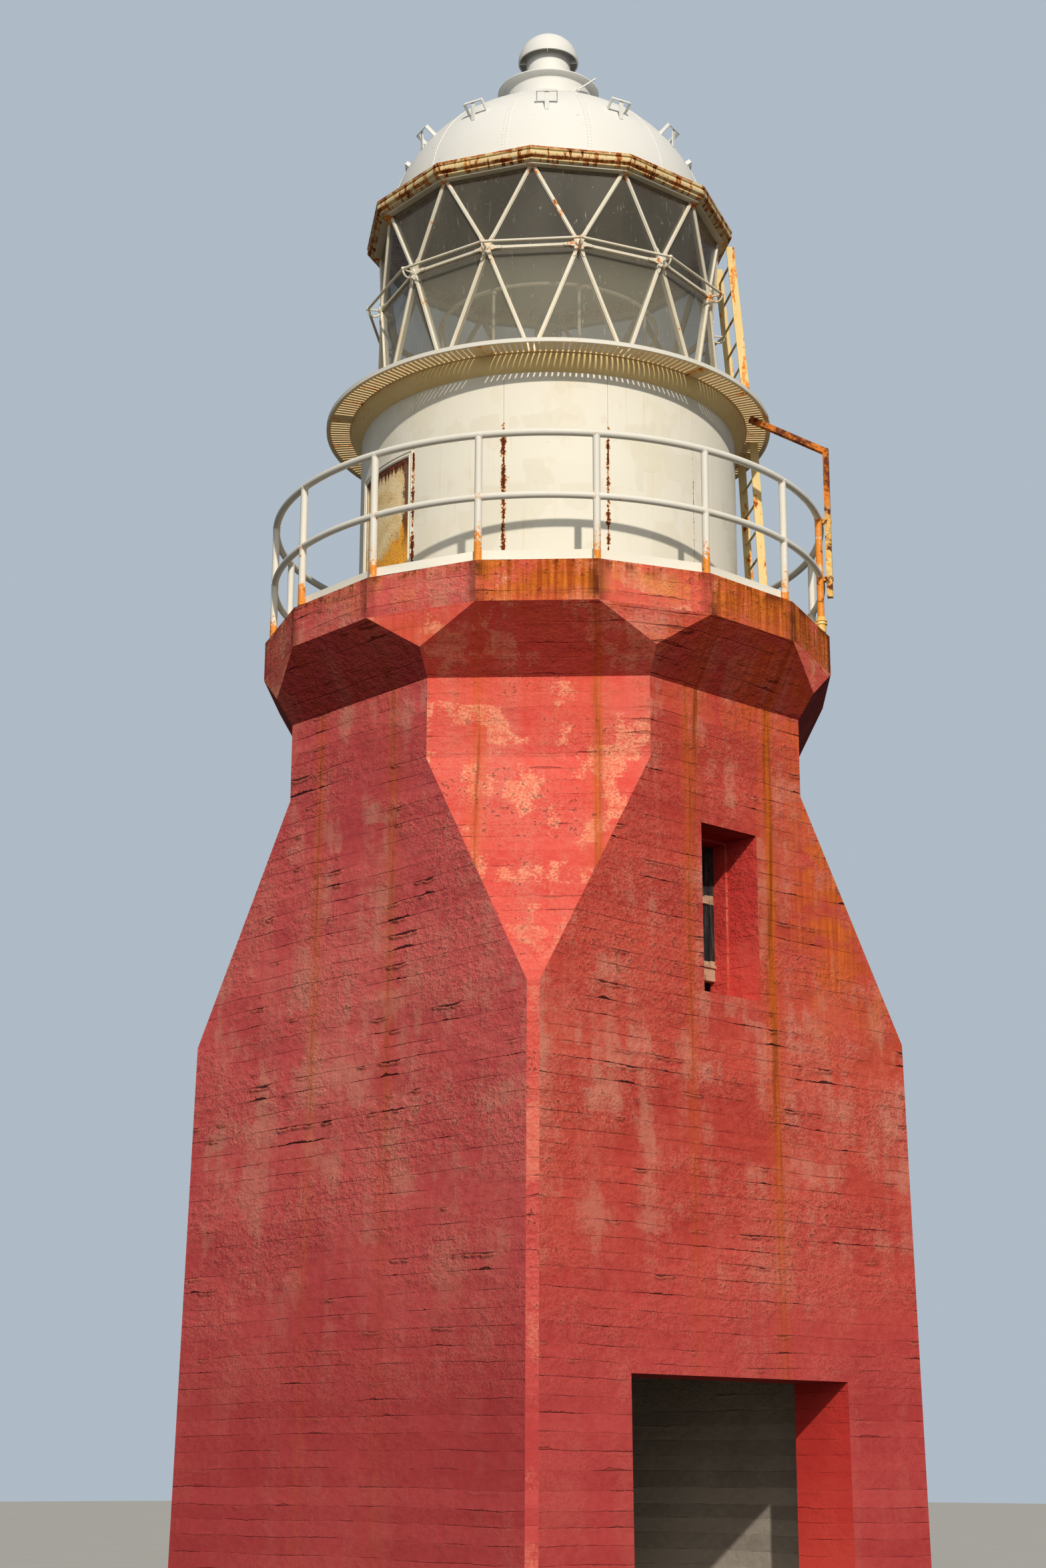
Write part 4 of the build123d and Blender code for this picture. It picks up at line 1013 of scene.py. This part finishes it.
def railing_welds():
    """The welds where the posts meet the rails, and a collar at each post's foot."""
    collar = above(deck_top, [(0.028, 0), (0.046, 0), (0.045, 0.006), (0.036, 0.012), (0.031, 0.022),
                              (0.028, 0.022)])
    welds = merge(saddle_bead(post_radius, post_radius, top_rail_height, 0),
                  saddle_bead(mid_rail_radius, post_radius, mid_rail_height, 1),
                  saddle_bead(mid_rail_radius, post_radius, mid_rail_height, -1),
                  turned(collar, 20, (railing_radius, 0), True))
    put_piece("railing_welds", turn_copies(welds, post_azimuths), rail_paint)


def drum_sheets():
    """Twelve plates bent to the drum's radius with narrow open joints, one of them cut away for the door."""
    joint = 0.06
    door_plate = 5
    sheets = []
    for index, seam in enumerate(drum_seams):
        foot = doorway_head if index == door_plate else deck_top
        sheets.append(curved_sheet(drum_radius - 0.016, drum_radius, seam + joint,
                                   seam + drum_plate_angle - joint, foot, drum_top, 24))
    backing = curved_sheet(drum_radius - 0.015, drum_radius - 0.008, doorway_end, doorway_start + 360,
                           deck_top, drum_top - 0.002, 200)
    put_piece("drum_sheets", merge(*sheets, backing), plate_paint,
              ("drum_plates_even", "drum_plates_odd"))


def frame_band(outer, inner, radius):
    """One step of the door's frame: two jambs and a head between two distances from the frame's edge."""
    near, far = outer * metre_angle, inner * metre_angle
    deep = drum_radius - 0.030
    low, high = doorway_head - inner, doorway_head - outer
    return [curved_sheet(deep, radius, doorway_start + near, doorway_start + far, deck_top, low, 4),
            curved_sheet(deep, radius, doorway_end - far, doorway_end - near, deck_top, low, 4),
            curved_sheet(deep, radius, doorway_start + near, doorway_end - near, low, high, 28)]


def drum_door_frame():
    """The stepped frame of the drum's door, with its sill."""
    bands = []
    for outer, inner, lift in ((0.0, 0.014, 0.0065), (0.014, 0.022, 0.012), (0.022, 0.044, 0.0045),
                               (0.044, 0.052, 0.010), (0.052, 0.060, 0.005)):
        bands += frame_band(outer, inner, drum_radius + lift)
    bands.append(curved_sheet(drum_radius - 0.030, drum_radius + 0.012, doorway_start, doorway_end,
                              deck_top, deck_top + 0.060, 28))
    put_piece("drum_door_frame_steps", merge(*bands), plate_paint, ("drum_door_frame",))


def drum_door_leaf():
    """The drum's iron door: a bent leaf with a raised strip along its four edges."""
    start, end = doorway_start + 0.063 * metre_angle, doorway_end - 0.063 * metre_angle
    low, high = deck_top + 0.063, door_head - 0.003
    width = 0.040
    strip = width * metre_angle
    leaf = [curved_sheet(drum_radius - 0.028, drum_radius - 0.004, start, end, low, high, 28)]
    for first, last, bottom, top in ((start, start + strip, low, high), (end - strip, end, low, high),
                                     (start + strip, end - strip, low, low + width),
                                     (start + strip, end - strip, high - width, high)):
        leaf.append(curved_sheet(drum_radius - 0.010, drum_radius - 0.001, first, last, bottom, top, 20))
    put_piece("drum_door_leaf", merge(*leaf), door_finish, ("drum_door",))


def lantern_bars():
    """Triangulated glazing bars with a raised cap between two narrow steps."""
    starts = np.concatenate([top_nodes, middle_nodes, low_nodes, middle_nodes, middle_nodes])
    ends = np.concatenate([middle_nodes, next_of(top_nodes), middle_nodes, next_of(low_nodes),
                           next_of(middle_nodes)])
    half = [(0.018, -0.050), (0.018, -0.010), (0.0125, -0.009), (0.0120, -0.002), (0.0095, 0)]
    section = half + [(-across, outward) for across, outward in half[::-1]]
    put_piece("lantern_glazing_bars", bars(starts, ends, section, (starts + ends) * level_only),
              lattice_paint, ("lantern_lattice",), 25)


def lantern_castings():
    """A casting at each middle node, with a boss, six tapering arms and a screw in each arm."""
    starts = np.concatenate([many(middle_nodes, 5), next_of(middle_nodes)])
    ends = np.concatenate([top_nodes, next_of(top_nodes), low_nodes, next_of(low_nodes),
                           next_of(middle_nodes), middle_nodes])
    along = unit(ends - starts)
    outward = square_to(along, (starts + ends) * level_only)
    half = [(0, -0.021), (0.052, -0.024), (0.070, -0.015), (0.118, -0.013)]
    arm = half + [(0.134, 0.0)] + [(reach, -across) for reach, across in half[::-1]]
    thickness = 0.0055
    arms = plates(starts, along, np.cross(outward, along), arm, -0.020, thickness)
    facing = middle_nodes * level_only / mid_node_radius
    bosses = rivets(middle_nodes + 0.004 * facing, facing, 0.034, 0.017)
    screws = rivets(starts + 0.095 * along + thickness * outward, outward, 0.0065, 0.005)
    put_piece("lantern_cast_fittings", merge(arms, bosses, screws), lattice_paint)


def lantern_handrail():
    """A straight-run rail with a ball at each corner."""
    corners = polar(handrail_radius, bay_middles, mid_node_height)
    runs = bars(corners, next_of(corners), ring_profile(0, 0, handrail_tube), many(upright, bays))
    ball = turned(arc((0, mid_node_height), (0.019, 0.019), -90, 90, 9), 14, (handrail_radius, 0))
    put_piece("lantern_handrail_tube", merge(runs, turn_copies(ball, bay_middles)), lattice_paint,
              ("lantern_handrail",))


def handrail_hooks():
    """Curled hooks under the handrail, each with a spur out from the lattice's middle node to the rail."""
    reach = (handrail_radius - mid_node_radius) / 2
    curl = arc((mid_node_radius + reach, mid_node_height - handrail_tube), (reach, -reach), -8, 205, 20)
    spur = above(mid_node_height, [(mid_node_radius, -0.010), (mid_node_radius + 0.03, -0.004),
                                   (mid_node_radius + 0.07, -0.006), (handrail_radius, 0)])
    hook = merge(tube(np.insert(curl, 1, 0, 1), 0.009, 10), tube(np.insert(spur, 1, 0, 1), 0.008, 8))
    put_piece("handrail_curled_hooks", turn_copies(hook, bay_middles), lattice_paint,
              ("handrail_hooks",))


def cornice_moulding():
    """A twelve-sided gutter: drip edge, half-round face, fillet and two soffit steps round the corners.

    The profile is in distances inward from the gutter's lip and upward from the lantern's head.
    """
    rise, depth = cornice_top - head_top, cornice_deck - head_top
    inner = cornice_radius - 1.380
    profile = [(inner, 0), (0.064, 0), (0.064, -0.024), (0.061, -0.026), (0.052, -0.026), (0.050, -0.021),
               (0.044, -0.021), (0.042, -0.016), (0.034, -0.015), (0.032, -0.010), (0.032, 0.002),
               (0.023, 0.004), (0.021, 0.008), *arc((0.016, 0.036), (-0.014, 0.026), -80, 80, 9),
               (0.016, 0.066), (0.002, 0.069), (0, 0.072), (0, rise - 0.005), (0.004, rise), (0.033, rise),
               (0.036, rise - 0.004), (0.036, depth), (inner, depth)]
    profile = np.array(profile) * (-1, 1) + (cornice_radius, head_top)
    points = polar(profile[None, :, 0], bay_corners[:, None], profile[None, :, 1])
    faces = [grid_faces(bays, len(profile), True, True)[:, ::-1]]
    put_piece("cornice_moulding", (points, faces), cornice_paint, ("cornice",), 22)


def dome_points(turn, offsets, lift):
    """Points of the dome at angles up from its foot and at distances in metres to one side of a seam.

    The radius is R cos t and the height H sin t, both lifted off the dome's face.
    """
    turn = np.radians(turn)[:, None]
    azimuth = np.degrees(offsets / (dome_radius * np.cos(turn)))
    height = cornice_deck + (dome_rise + lift) * np.sin(turn)
    return polar((dome_radius + lift) * np.cos(turn), azimuth, height)


def shell(centre_height, radius, rise, last, count):
    """The closed profile of a thin dome, out and up its outer face and back down its inner one."""
    outer = arc((0, centre_height), (radius, rise), 0, last, count)
    inner = arc((0, centre_height), (radius - sheet_thickness, rise - sheet_thickness), 0, last, count)
    return np.concatenate([outer, inner[::-1]])


def dome_skin():
    """The dome's thin shell, from its foot to the vent's collar."""
    skin = turned(shell(cornice_deck, dome_radius, dome_rise, dome_crown, 44), 180, closed=True)
    put_piece("dome_skin", skin, dome_paint, ("dome",))


def dome_straps():
    """A lapped strap over each of the dome's seams, and a band round its foot."""
    turn = np.linspace(1.2, dome_crown - 0.3, 40)
    offsets = np.array([-0.026, -0.024, 0.024, 0.026])
    lift = np.array([-0.001, 0.003, 0.003, -0.001])
    strap = dome_points(turn, offsets, lift), [grid_faces(len(turn), len(offsets))]
    band = np.array([(-0.004, 0.002), (0.016, 0.002), (0.016, 0.014), (0.006, 0.018), (0.005, 0.056),
                     (-0.004, 0.059)]) + (dome_radius, cornice_deck)
    put_piece("dome_seam_straps", merge(turn_copies(strap, dome_seams), turned(band, 180, closed=True)),
              dome_paint)


def dome_rivets():
    """Two rows of rivets to a seam and one round the foot.

    A rivet's direction is (x / R^2, y / R^2, z / H^2), which is square to the dome there.
    """
    rows = dome_points(np.linspace(2.6, dome_crown - 1.4, 44), np.array([-0.014, 0.014]), 0.003)
    rows = turn_points(rows.reshape(-1, 3), dome_seams).reshape(-1, 3)
    foot = polar(dome_radius + 0.005, np.arange(96) * 3.75 + 1, cornice_deck + 0.037)
    centres = np.concatenate([rows, foot])
    radii = np.array([dome_radius, dome_radius, dome_rise])
    normals = unit((centres - cornice_deck * upright) / radii ** 2)
    put_piece("dome_rivets", rivets(centres, normals, 0.0062, 0.0038), dome_paint)


def vent_collar():
    """Collar with a rolled lip, a sloping shoulder and the neck."""
    rise = neck_top - collar_foot
    neck_inner = neck_radius - 0.006
    collar = [(collar_inner_radius, 0), (collar_radius, 0), (collar_radius, 0.055),
              (collar_radius + 0.004, 0.057), (collar_radius + 0.004, 0.075), (collar_radius, 0.077),
              (collar_radius, 0.235), (0.412, 0.251), (0.420, 0.265), (0.434, 0.277),
              *arc((0.4555, 0.2925), (0.0105, 0.0095), -110, 120, 10), (0.440, 0.305), (0.330, 0.332),
              (0.240, 0.350), (0.222, 0.360), (0.211, 0.375), (neck_radius, 0.395),
              (neck_radius, rise - 0.004), (neck_radius - 0.003, rise), (neck_inner, rise),
              (neck_inner, 0.370), (0.425, 0.288), (collar_inner_radius, 0.250)]
    put_piece("vent_collar_and_neck", turned(above(collar_foot, collar), 96, closed=True), dome_paint,
              ("vent_stack",), 50)


def vent_hood():
    """The vent's round hood with a rolled rim, on four stays from the neck."""
    hood = turned(shell(vent_cap_height, vent_cap_radius, vent_cap_radius, 90, 22), 72, closed=True)
    rim = turned(ring_profile(vent_cap_radius - 0.007, vent_cap_height + 0.004, 0.0065, 10), 72,
                 closed=True)
    azimuth = 45 + 90 * np.arange(4)
    height = vent_cap_height + 0.018
    stays = bars(polar(neck_radius - 0.002, azimuth, height),
                 polar(vent_cap_radius - sheet_thickness, azimuth, height),
                 rounded_box(0.003, 0.014, 0.001), many(upright, 4))
    put_piece("vent_hood", merge(hood, rim, stays), dome_paint, ("vent_cap",), 50)


def vent_flange():
    """A riveted flange round the foot of the vent's collar."""
    azimuth = np.arange(24) * 15 + 4
    normals = unit(upright + 0.35 * polar(1, azimuth, 0))
    feet = polar(collar_radius + 0.020, azimuth, collar_foot + 0.040) - 0.016 * normals
    flange = above(collar_foot, [(0.405, 0.018), (0.446, 0.008), (0.446, 0.022), (0.440, 0.028),
                                 (0.405, 0.040)])
    put_piece("vent_foot_flange", merge(turned(flange, 96, closed=True), rivets(feet, normals, 0.008, 0.006)),
              dome_paint)


def rung_welds(foot_radius, foot, head_radius, head):
    """A weld bead at both ends of each rung of one ladder, which leans in evenly as it rises."""
    azimuth = lantern_turn + bay_angle * 10.5
    sideways = polar(1, azimuth + 90, 0)
    rung_step = 0.250
    count = int((head - foot - rung_step / 2) // rung_step)
    height = foot + rung_step * (1 + np.arange(count))
    radius = foot_radius + (head_radius - foot_radius) * (height - foot) / (head - foot)
    centres = polar(radius, azimuth, height)
    bead = ring_profile(0, 0, 0.0135, 12)
    beads = []
    for side in (-0.2155, 0.2155):
        middles = centres + side * sideways
        beads.append(bars(middles - 0.004 * sideways, middles + 0.004 * sideways, bead,
                          many(upright, count)))
    return beads


def ladder_rungs():
    """Weld beads where the rungs meet the stringers of both ladders."""
    beads = rung_welds(1.906, deck_top, 1.819, lower_ladder_top)
    beads += rung_welds(1.797, lantern_floor_top, 1.640, upper_ladder_top)
    put_piece("ladder_rung_welds", merge(*beads), ladder_paint)


def brace_fittings():
    """A sleeve with two flanges on the post beside the rusty brace, and clamp bolts on the brace."""
    centre = polar(railing_radius, brace_post_azimuth, 0)[:2]
    sleeve = above(deck_top, [(0.030, 0.042), (0.038, 0.042), (0.040, 0.049), (0.040, 0.107),
                              (0.050, 0.109), (0.050, 0.121), (0.040, 0.123), (0.040, 0.135),
                              (0.050, 0.137), (0.050, 0.149), (0.038, 0.151), (0.036, 0.177),
                              (0.030, 0.179)])
    outward = polar(1, brace_azimuth, 0)
    sideways = polar(1, brace_azimuth + 90, 0)
    spots = [outward * brace_outer_radius + sideways * side + upright * (height + lift)
             for height in (top_rail_height, mid_rail_height)
             for side in (-0.012, 0.012)
             for lift in (-0.008, 0.008)]
    bolts = rivets(spots, many(outward, len(spots)), 0.008, 0.008)
    put_piece("brace_fittings", merge(turned(sleeve, 24, centre, True), bolts), rust)


def lamp_column():
    """The lamp's pedestal: a bolted foot and a tapered column."""
    foot = above(lantern_floor_top, [(0, 0), (0.190, 0), (0.190, 0.012), (0.184, 0.018), (0.112, 0.020),
                                     (0.098, 0.038), (0.090, 0.078)])
    head = above(lamp_base_foot, [(0.090, -0.050), (0.098, -0.035), (0.100, -0.010), (0.094, 0), (0, 0)])
    spots = polar(0.155, np.arange(8) * 45 + 20, lantern_floor_top + 0.018)
    bolts = rivets(spots, many(upright, 8), 0.012, 0.012)
    put_piece("lamp_column", merge(turned(np.concatenate([foot, head]), 48), bolts), lamp_metal,
              ("lamp_pedestal",))


def lamp_ribbed_base():
    """The lamp's round base, with upright ribs all round."""
    radius = 0.112
    foot = above(lamp_base_foot, [(0, 0), (radius - 0.004, 0), (radius, 0.006)])
    head = above(lamp_cover_foot, [(radius, -0.007), (radius - 0.006, 0), (0, 0)])
    azimuth = np.arange(36) * 10
    ribs = bars(polar(radius, azimuth, lamp_base_foot + 0.010),
                polar(radius, azimuth, lamp_cover_foot - 0.009),
                rounded_box(0.0035, 0.010, 0.0015), polar(1, azimuth, 0))
    put_piece("lamp_ribbed_base", merge(turned(np.concatenate([foot, head]), 72), ribs), lamp_metal,
              ("lamp_base",))


def lamp_dark_cover():
    """The lamp's dark cover: a short round wall under a half sphere."""
    radius, wall = 0.110, 0.037
    profile = above(lamp_cover_foot, [(0, 0), (radius, 0), *arc((0, wall), (radius, radius), 0, 90, 14)])
    put_piece("lamp_cover", turned(profile, 48), lamp_cover, ("lamp",))


def guard_rail():
    """The round rail inside the lantern, with a knob and a foot to each of its posts."""
    guard = turned(ring_profile(guard_radius, guard_height, guard_tube), 120, closed=True)
    knob = above(guard_height, [(0, -0.044), (0.024, -0.044), (0.026, -0.032), (0.024, -0.018),
                                (0, -0.018)])
    foot = above(lantern_floor_top, [(0, 0), (0.036, 0), (0.036, 0.006), (0.016, 0.012), (0, 0.012)])
    fittings = merge(turned(knob, 16, (guard_radius, 0)), turned(foot, 16, (guard_radius, 0)))
    azimuths = guard_turn + 360 / guard_posts * np.arange(guard_posts)
    put_piece("guard_rail_tube", merge(guard, turn_copies(fittings, azimuths)), lattice_paint,
              ("guard_rail",))


def window_details():
    """A drip on the window's bottom board and two narrow glazing bars in each sash."""
    outward = np.array([0, -1.0, 0])
    spots = [(x, window_face + 0.012, low, high)
             for low, high in ((window_glass_foot + 0.007, meeting_rail_foot + 0.002),
                               (meeting_rail_head - 0.004, window_glass_head - 0.006))
             for x in (-0.067, 0.067)]
    spots = np.array(spots)
    sash_bars = bars(spots[:, :3], spots[:, [0, 1, 3]], rounded_box(0.009, 0.010, 0.003),
                     many(outward, len(spots)))
    ends = np.array([(side * 0.289, window_face - 0.006, window_sash_foot + 0.008) for side in (-1, 1)])
    drip = bars(ends[:1], ends[1:], rounded_box(0.012, 0.009, 0.003), [outward])
    put_piece("window_bars_and_drip", merge(sash_bars, drip), frame_wood)


def round_faces():
    """Nodes that join a solid's loose faces and shade all of it smooth but its sharp edges."""
    tree = bpy.data.node_groups.new("smooth_round_faces", "GeometryNodeTree")
    for way in ("INPUT", "OUTPUT"):
        tree.interface.new_socket("Geometry", in_out=way, socket_type="NodeSocketGeometry")
    source = tree.nodes.new("NodeGroupInput")
    joined = tree.nodes.new("GeometryNodeMergeByDistance")
    joined.inputs["Distance"].default_value = join_distance
    smooth = tree.nodes.new("GeometryNodeSetShadeSmooth")
    angle = tree.nodes.new("GeometryNodeInputMeshEdgeAngle")
    gentle = tree.nodes.new("FunctionNodeCompare")
    gentle.operation = "LESS_THAN"
    gentle.inputs[1].default_value = sharp_angle
    edges = tree.nodes.new("GeometryNodeSetShadeSmooth")
    edges.domain = "EDGE"
    result = tree.nodes.new("NodeGroupOutput")
    for start, end in ((source.outputs[0], joined.inputs[0]), (joined.outputs[0], smooth.inputs[0]),
                       (smooth.outputs[0], edges.inputs[0]), (angle.outputs[0], gentle.inputs[0]),
                       (gentle.outputs[0], edges.inputs["Shade Smooth"]),
                       (edges.outputs[0], result.inputs[0])):
        tree.links.new(start, end)
    return tree


def soften_solids():
    """Smooth shading on the round solids that stay, and eased edges on the flat ones."""
    group = round_faces()
    for name in ("drum_cove", "catwalk_rim", "lightning_rod", "guard_rail_posts", "lantern_floor"):
        nodes[name].modifiers.new("round", "NODES").node_group = group
    for name, width in (("window_frame", 0.004), ("window_sashes", 0.003), ("gallery_kerb", 0.006),
                        ("lantern_sill", 0.005), ("lantern_head", 0.004), ("dome_brackets", 0.0015),
                        ("lower_ladder", 0.002), ("upper_ladder", 0.002), ("rail_brace", 0.004)):
        nodes[name].modifiers.new("join", "WELD").merge_threshold = join_distance
        ease = nodes[name].modifiers.new("ease", "BEVEL")
        ease.width = width
        ease.segments = 2
        ease.limit_method = "ANGLE"
        ease.angle_limit = sharp_angle


gallery_railing()
railing_welds()
drum_sheets()
drum_door_frame()
drum_door_leaf()
lantern_bars()
lantern_castings()
lantern_handrail()
handrail_hooks()
cornice_moulding()
dome_skin()
dome_straps()
dome_rivets()
vent_collar()
vent_hood()
vent_flange()
ladder_rungs()
brace_fittings()
lamp_column()
lamp_ribbed_base()
lamp_dark_cover()
guard_rail()
window_details()
soften_solids()


# Floor, light and camera

def pale_floor():
    """A pale floor to look at, which sends little of the sun back up under the gallery."""
    f = Finish("pale_studio_floor")
    cloud = f.noise(f.place, 0.6, 3, 0.5)
    seen = f.make("ShaderNodeLightPath", {}, (), "Is Camera Ray")
    pale = f.mix_colours(cloud.rise(0.3, 0.7) * 0.25, paint(190, 188, 182), paint(178, 175, 168))
    return f.finish(f.mix_colours(seen, paint(58, 56, 52), pale), 0.9)


def studio_floor():
    """A wide flat floor round the tower's foot, apart from the model."""
    size = 120.0
    mesh = bpy.data.meshes.new("studio_floor")
    mesh.from_pydata([(-size, -size, 0), (size, -size, 0), (size, size, 0), (-size, size, 0)], [],
                     [(0, 1, 2, 3)])
    mesh.materials.append(pale_floor())
    floor = bpy.data.objects.new("studio_floor", mesh)
    bpy.context.scene.collection.objects.link(floor)


def sun(name, strength, spread, colour, azimuth, height):
    """A sun of some degrees' width that stands at an azimuth and a height over the horizon."""
    data = bpy.data.lights.new(name, "SUN")
    data.energy = strength
    data.angle = math.radians(spread)
    data.color = colour
    lamp = bpy.data.objects.new(name, data)
    lamp.rotation_euler = (math.radians(90 - height), 0, math.radians(azimuth + 90))
    bpy.context.scene.collection.objects.link(lamp)


def surround():
    """An even sky that lights the tower faintly and shows paler behind it."""
    world = bpy.data.worlds.new("pale_surround")
    world.use_nodes = True
    tree = world.node_tree
    light = tree.nodes["Background"]
    light.inputs[0].default_value = (0.52, 0.64, 0.80, 1)
    light.inputs[1].default_value = 0.26
    shown = tree.nodes.new("ShaderNodeBackground")
    shown.inputs[0].default_value = (0.50, 0.58, 0.66, 1)
    shown.inputs[1].default_value = 0.85
    path = tree.nodes.new("ShaderNodeLightPath")
    blend = tree.nodes.new("ShaderNodeMixShader")
    for start, end in ((path.outputs["Is Camera Ray"], blend.inputs[0]), (light.outputs[0], blend.inputs[1]),
                       (shown.outputs[0], blend.inputs[2]),
                       (blend.outputs[0], tree.nodes["World Output"].inputs[0])):
        tree.links.new(start, end)
    bpy.context.scene.world = world
    bpy.context.scene.view_settings.view_transform = "Standard"


def stage():
    """A wide pale floor, a warm sun, a broad soft fill from low in front, and a pale even surround."""
    studio_floor()
    sun("key_sun", 3.05, 1.2, (1.0, 0.92, 0.80), 238, 33)
    sun("soft_low_fill", 1.0, 70, (1.0, 0.95, 0.84), 222, 14)
    surround()


def photo_camera():
    """The camera where the photograph was taken, at eye height."""
    yaw, pitch, roll = (math.radians(value) for value in (47.657, 15.705, 0.196))
    data = bpy.data.cameras.new("photo_camera")
    data.sensor_fit = "AUTO"
    data.sensor_width = 36
    data.lens = 56.48
    data.clip_end = 500
    camera = bpy.data.objects.new("photo_camera", data)
    camera.location = (-13.762, -14.786, 1.600)
    camera.rotation_mode = "XYZ"
    turn = Euler((math.pi / 2 + pitch, 0, yaw - math.pi / 2), "XYZ").to_matrix()
    camera.rotation_euler = (turn @ Matrix.Rotation(roll, 3, "Z")).to_euler()
    bpy.context.scene.collection.objects.link(camera)
    bpy.context.scene.camera = camera


stage()
photo_camera()
bpy.context.view_layer.update()
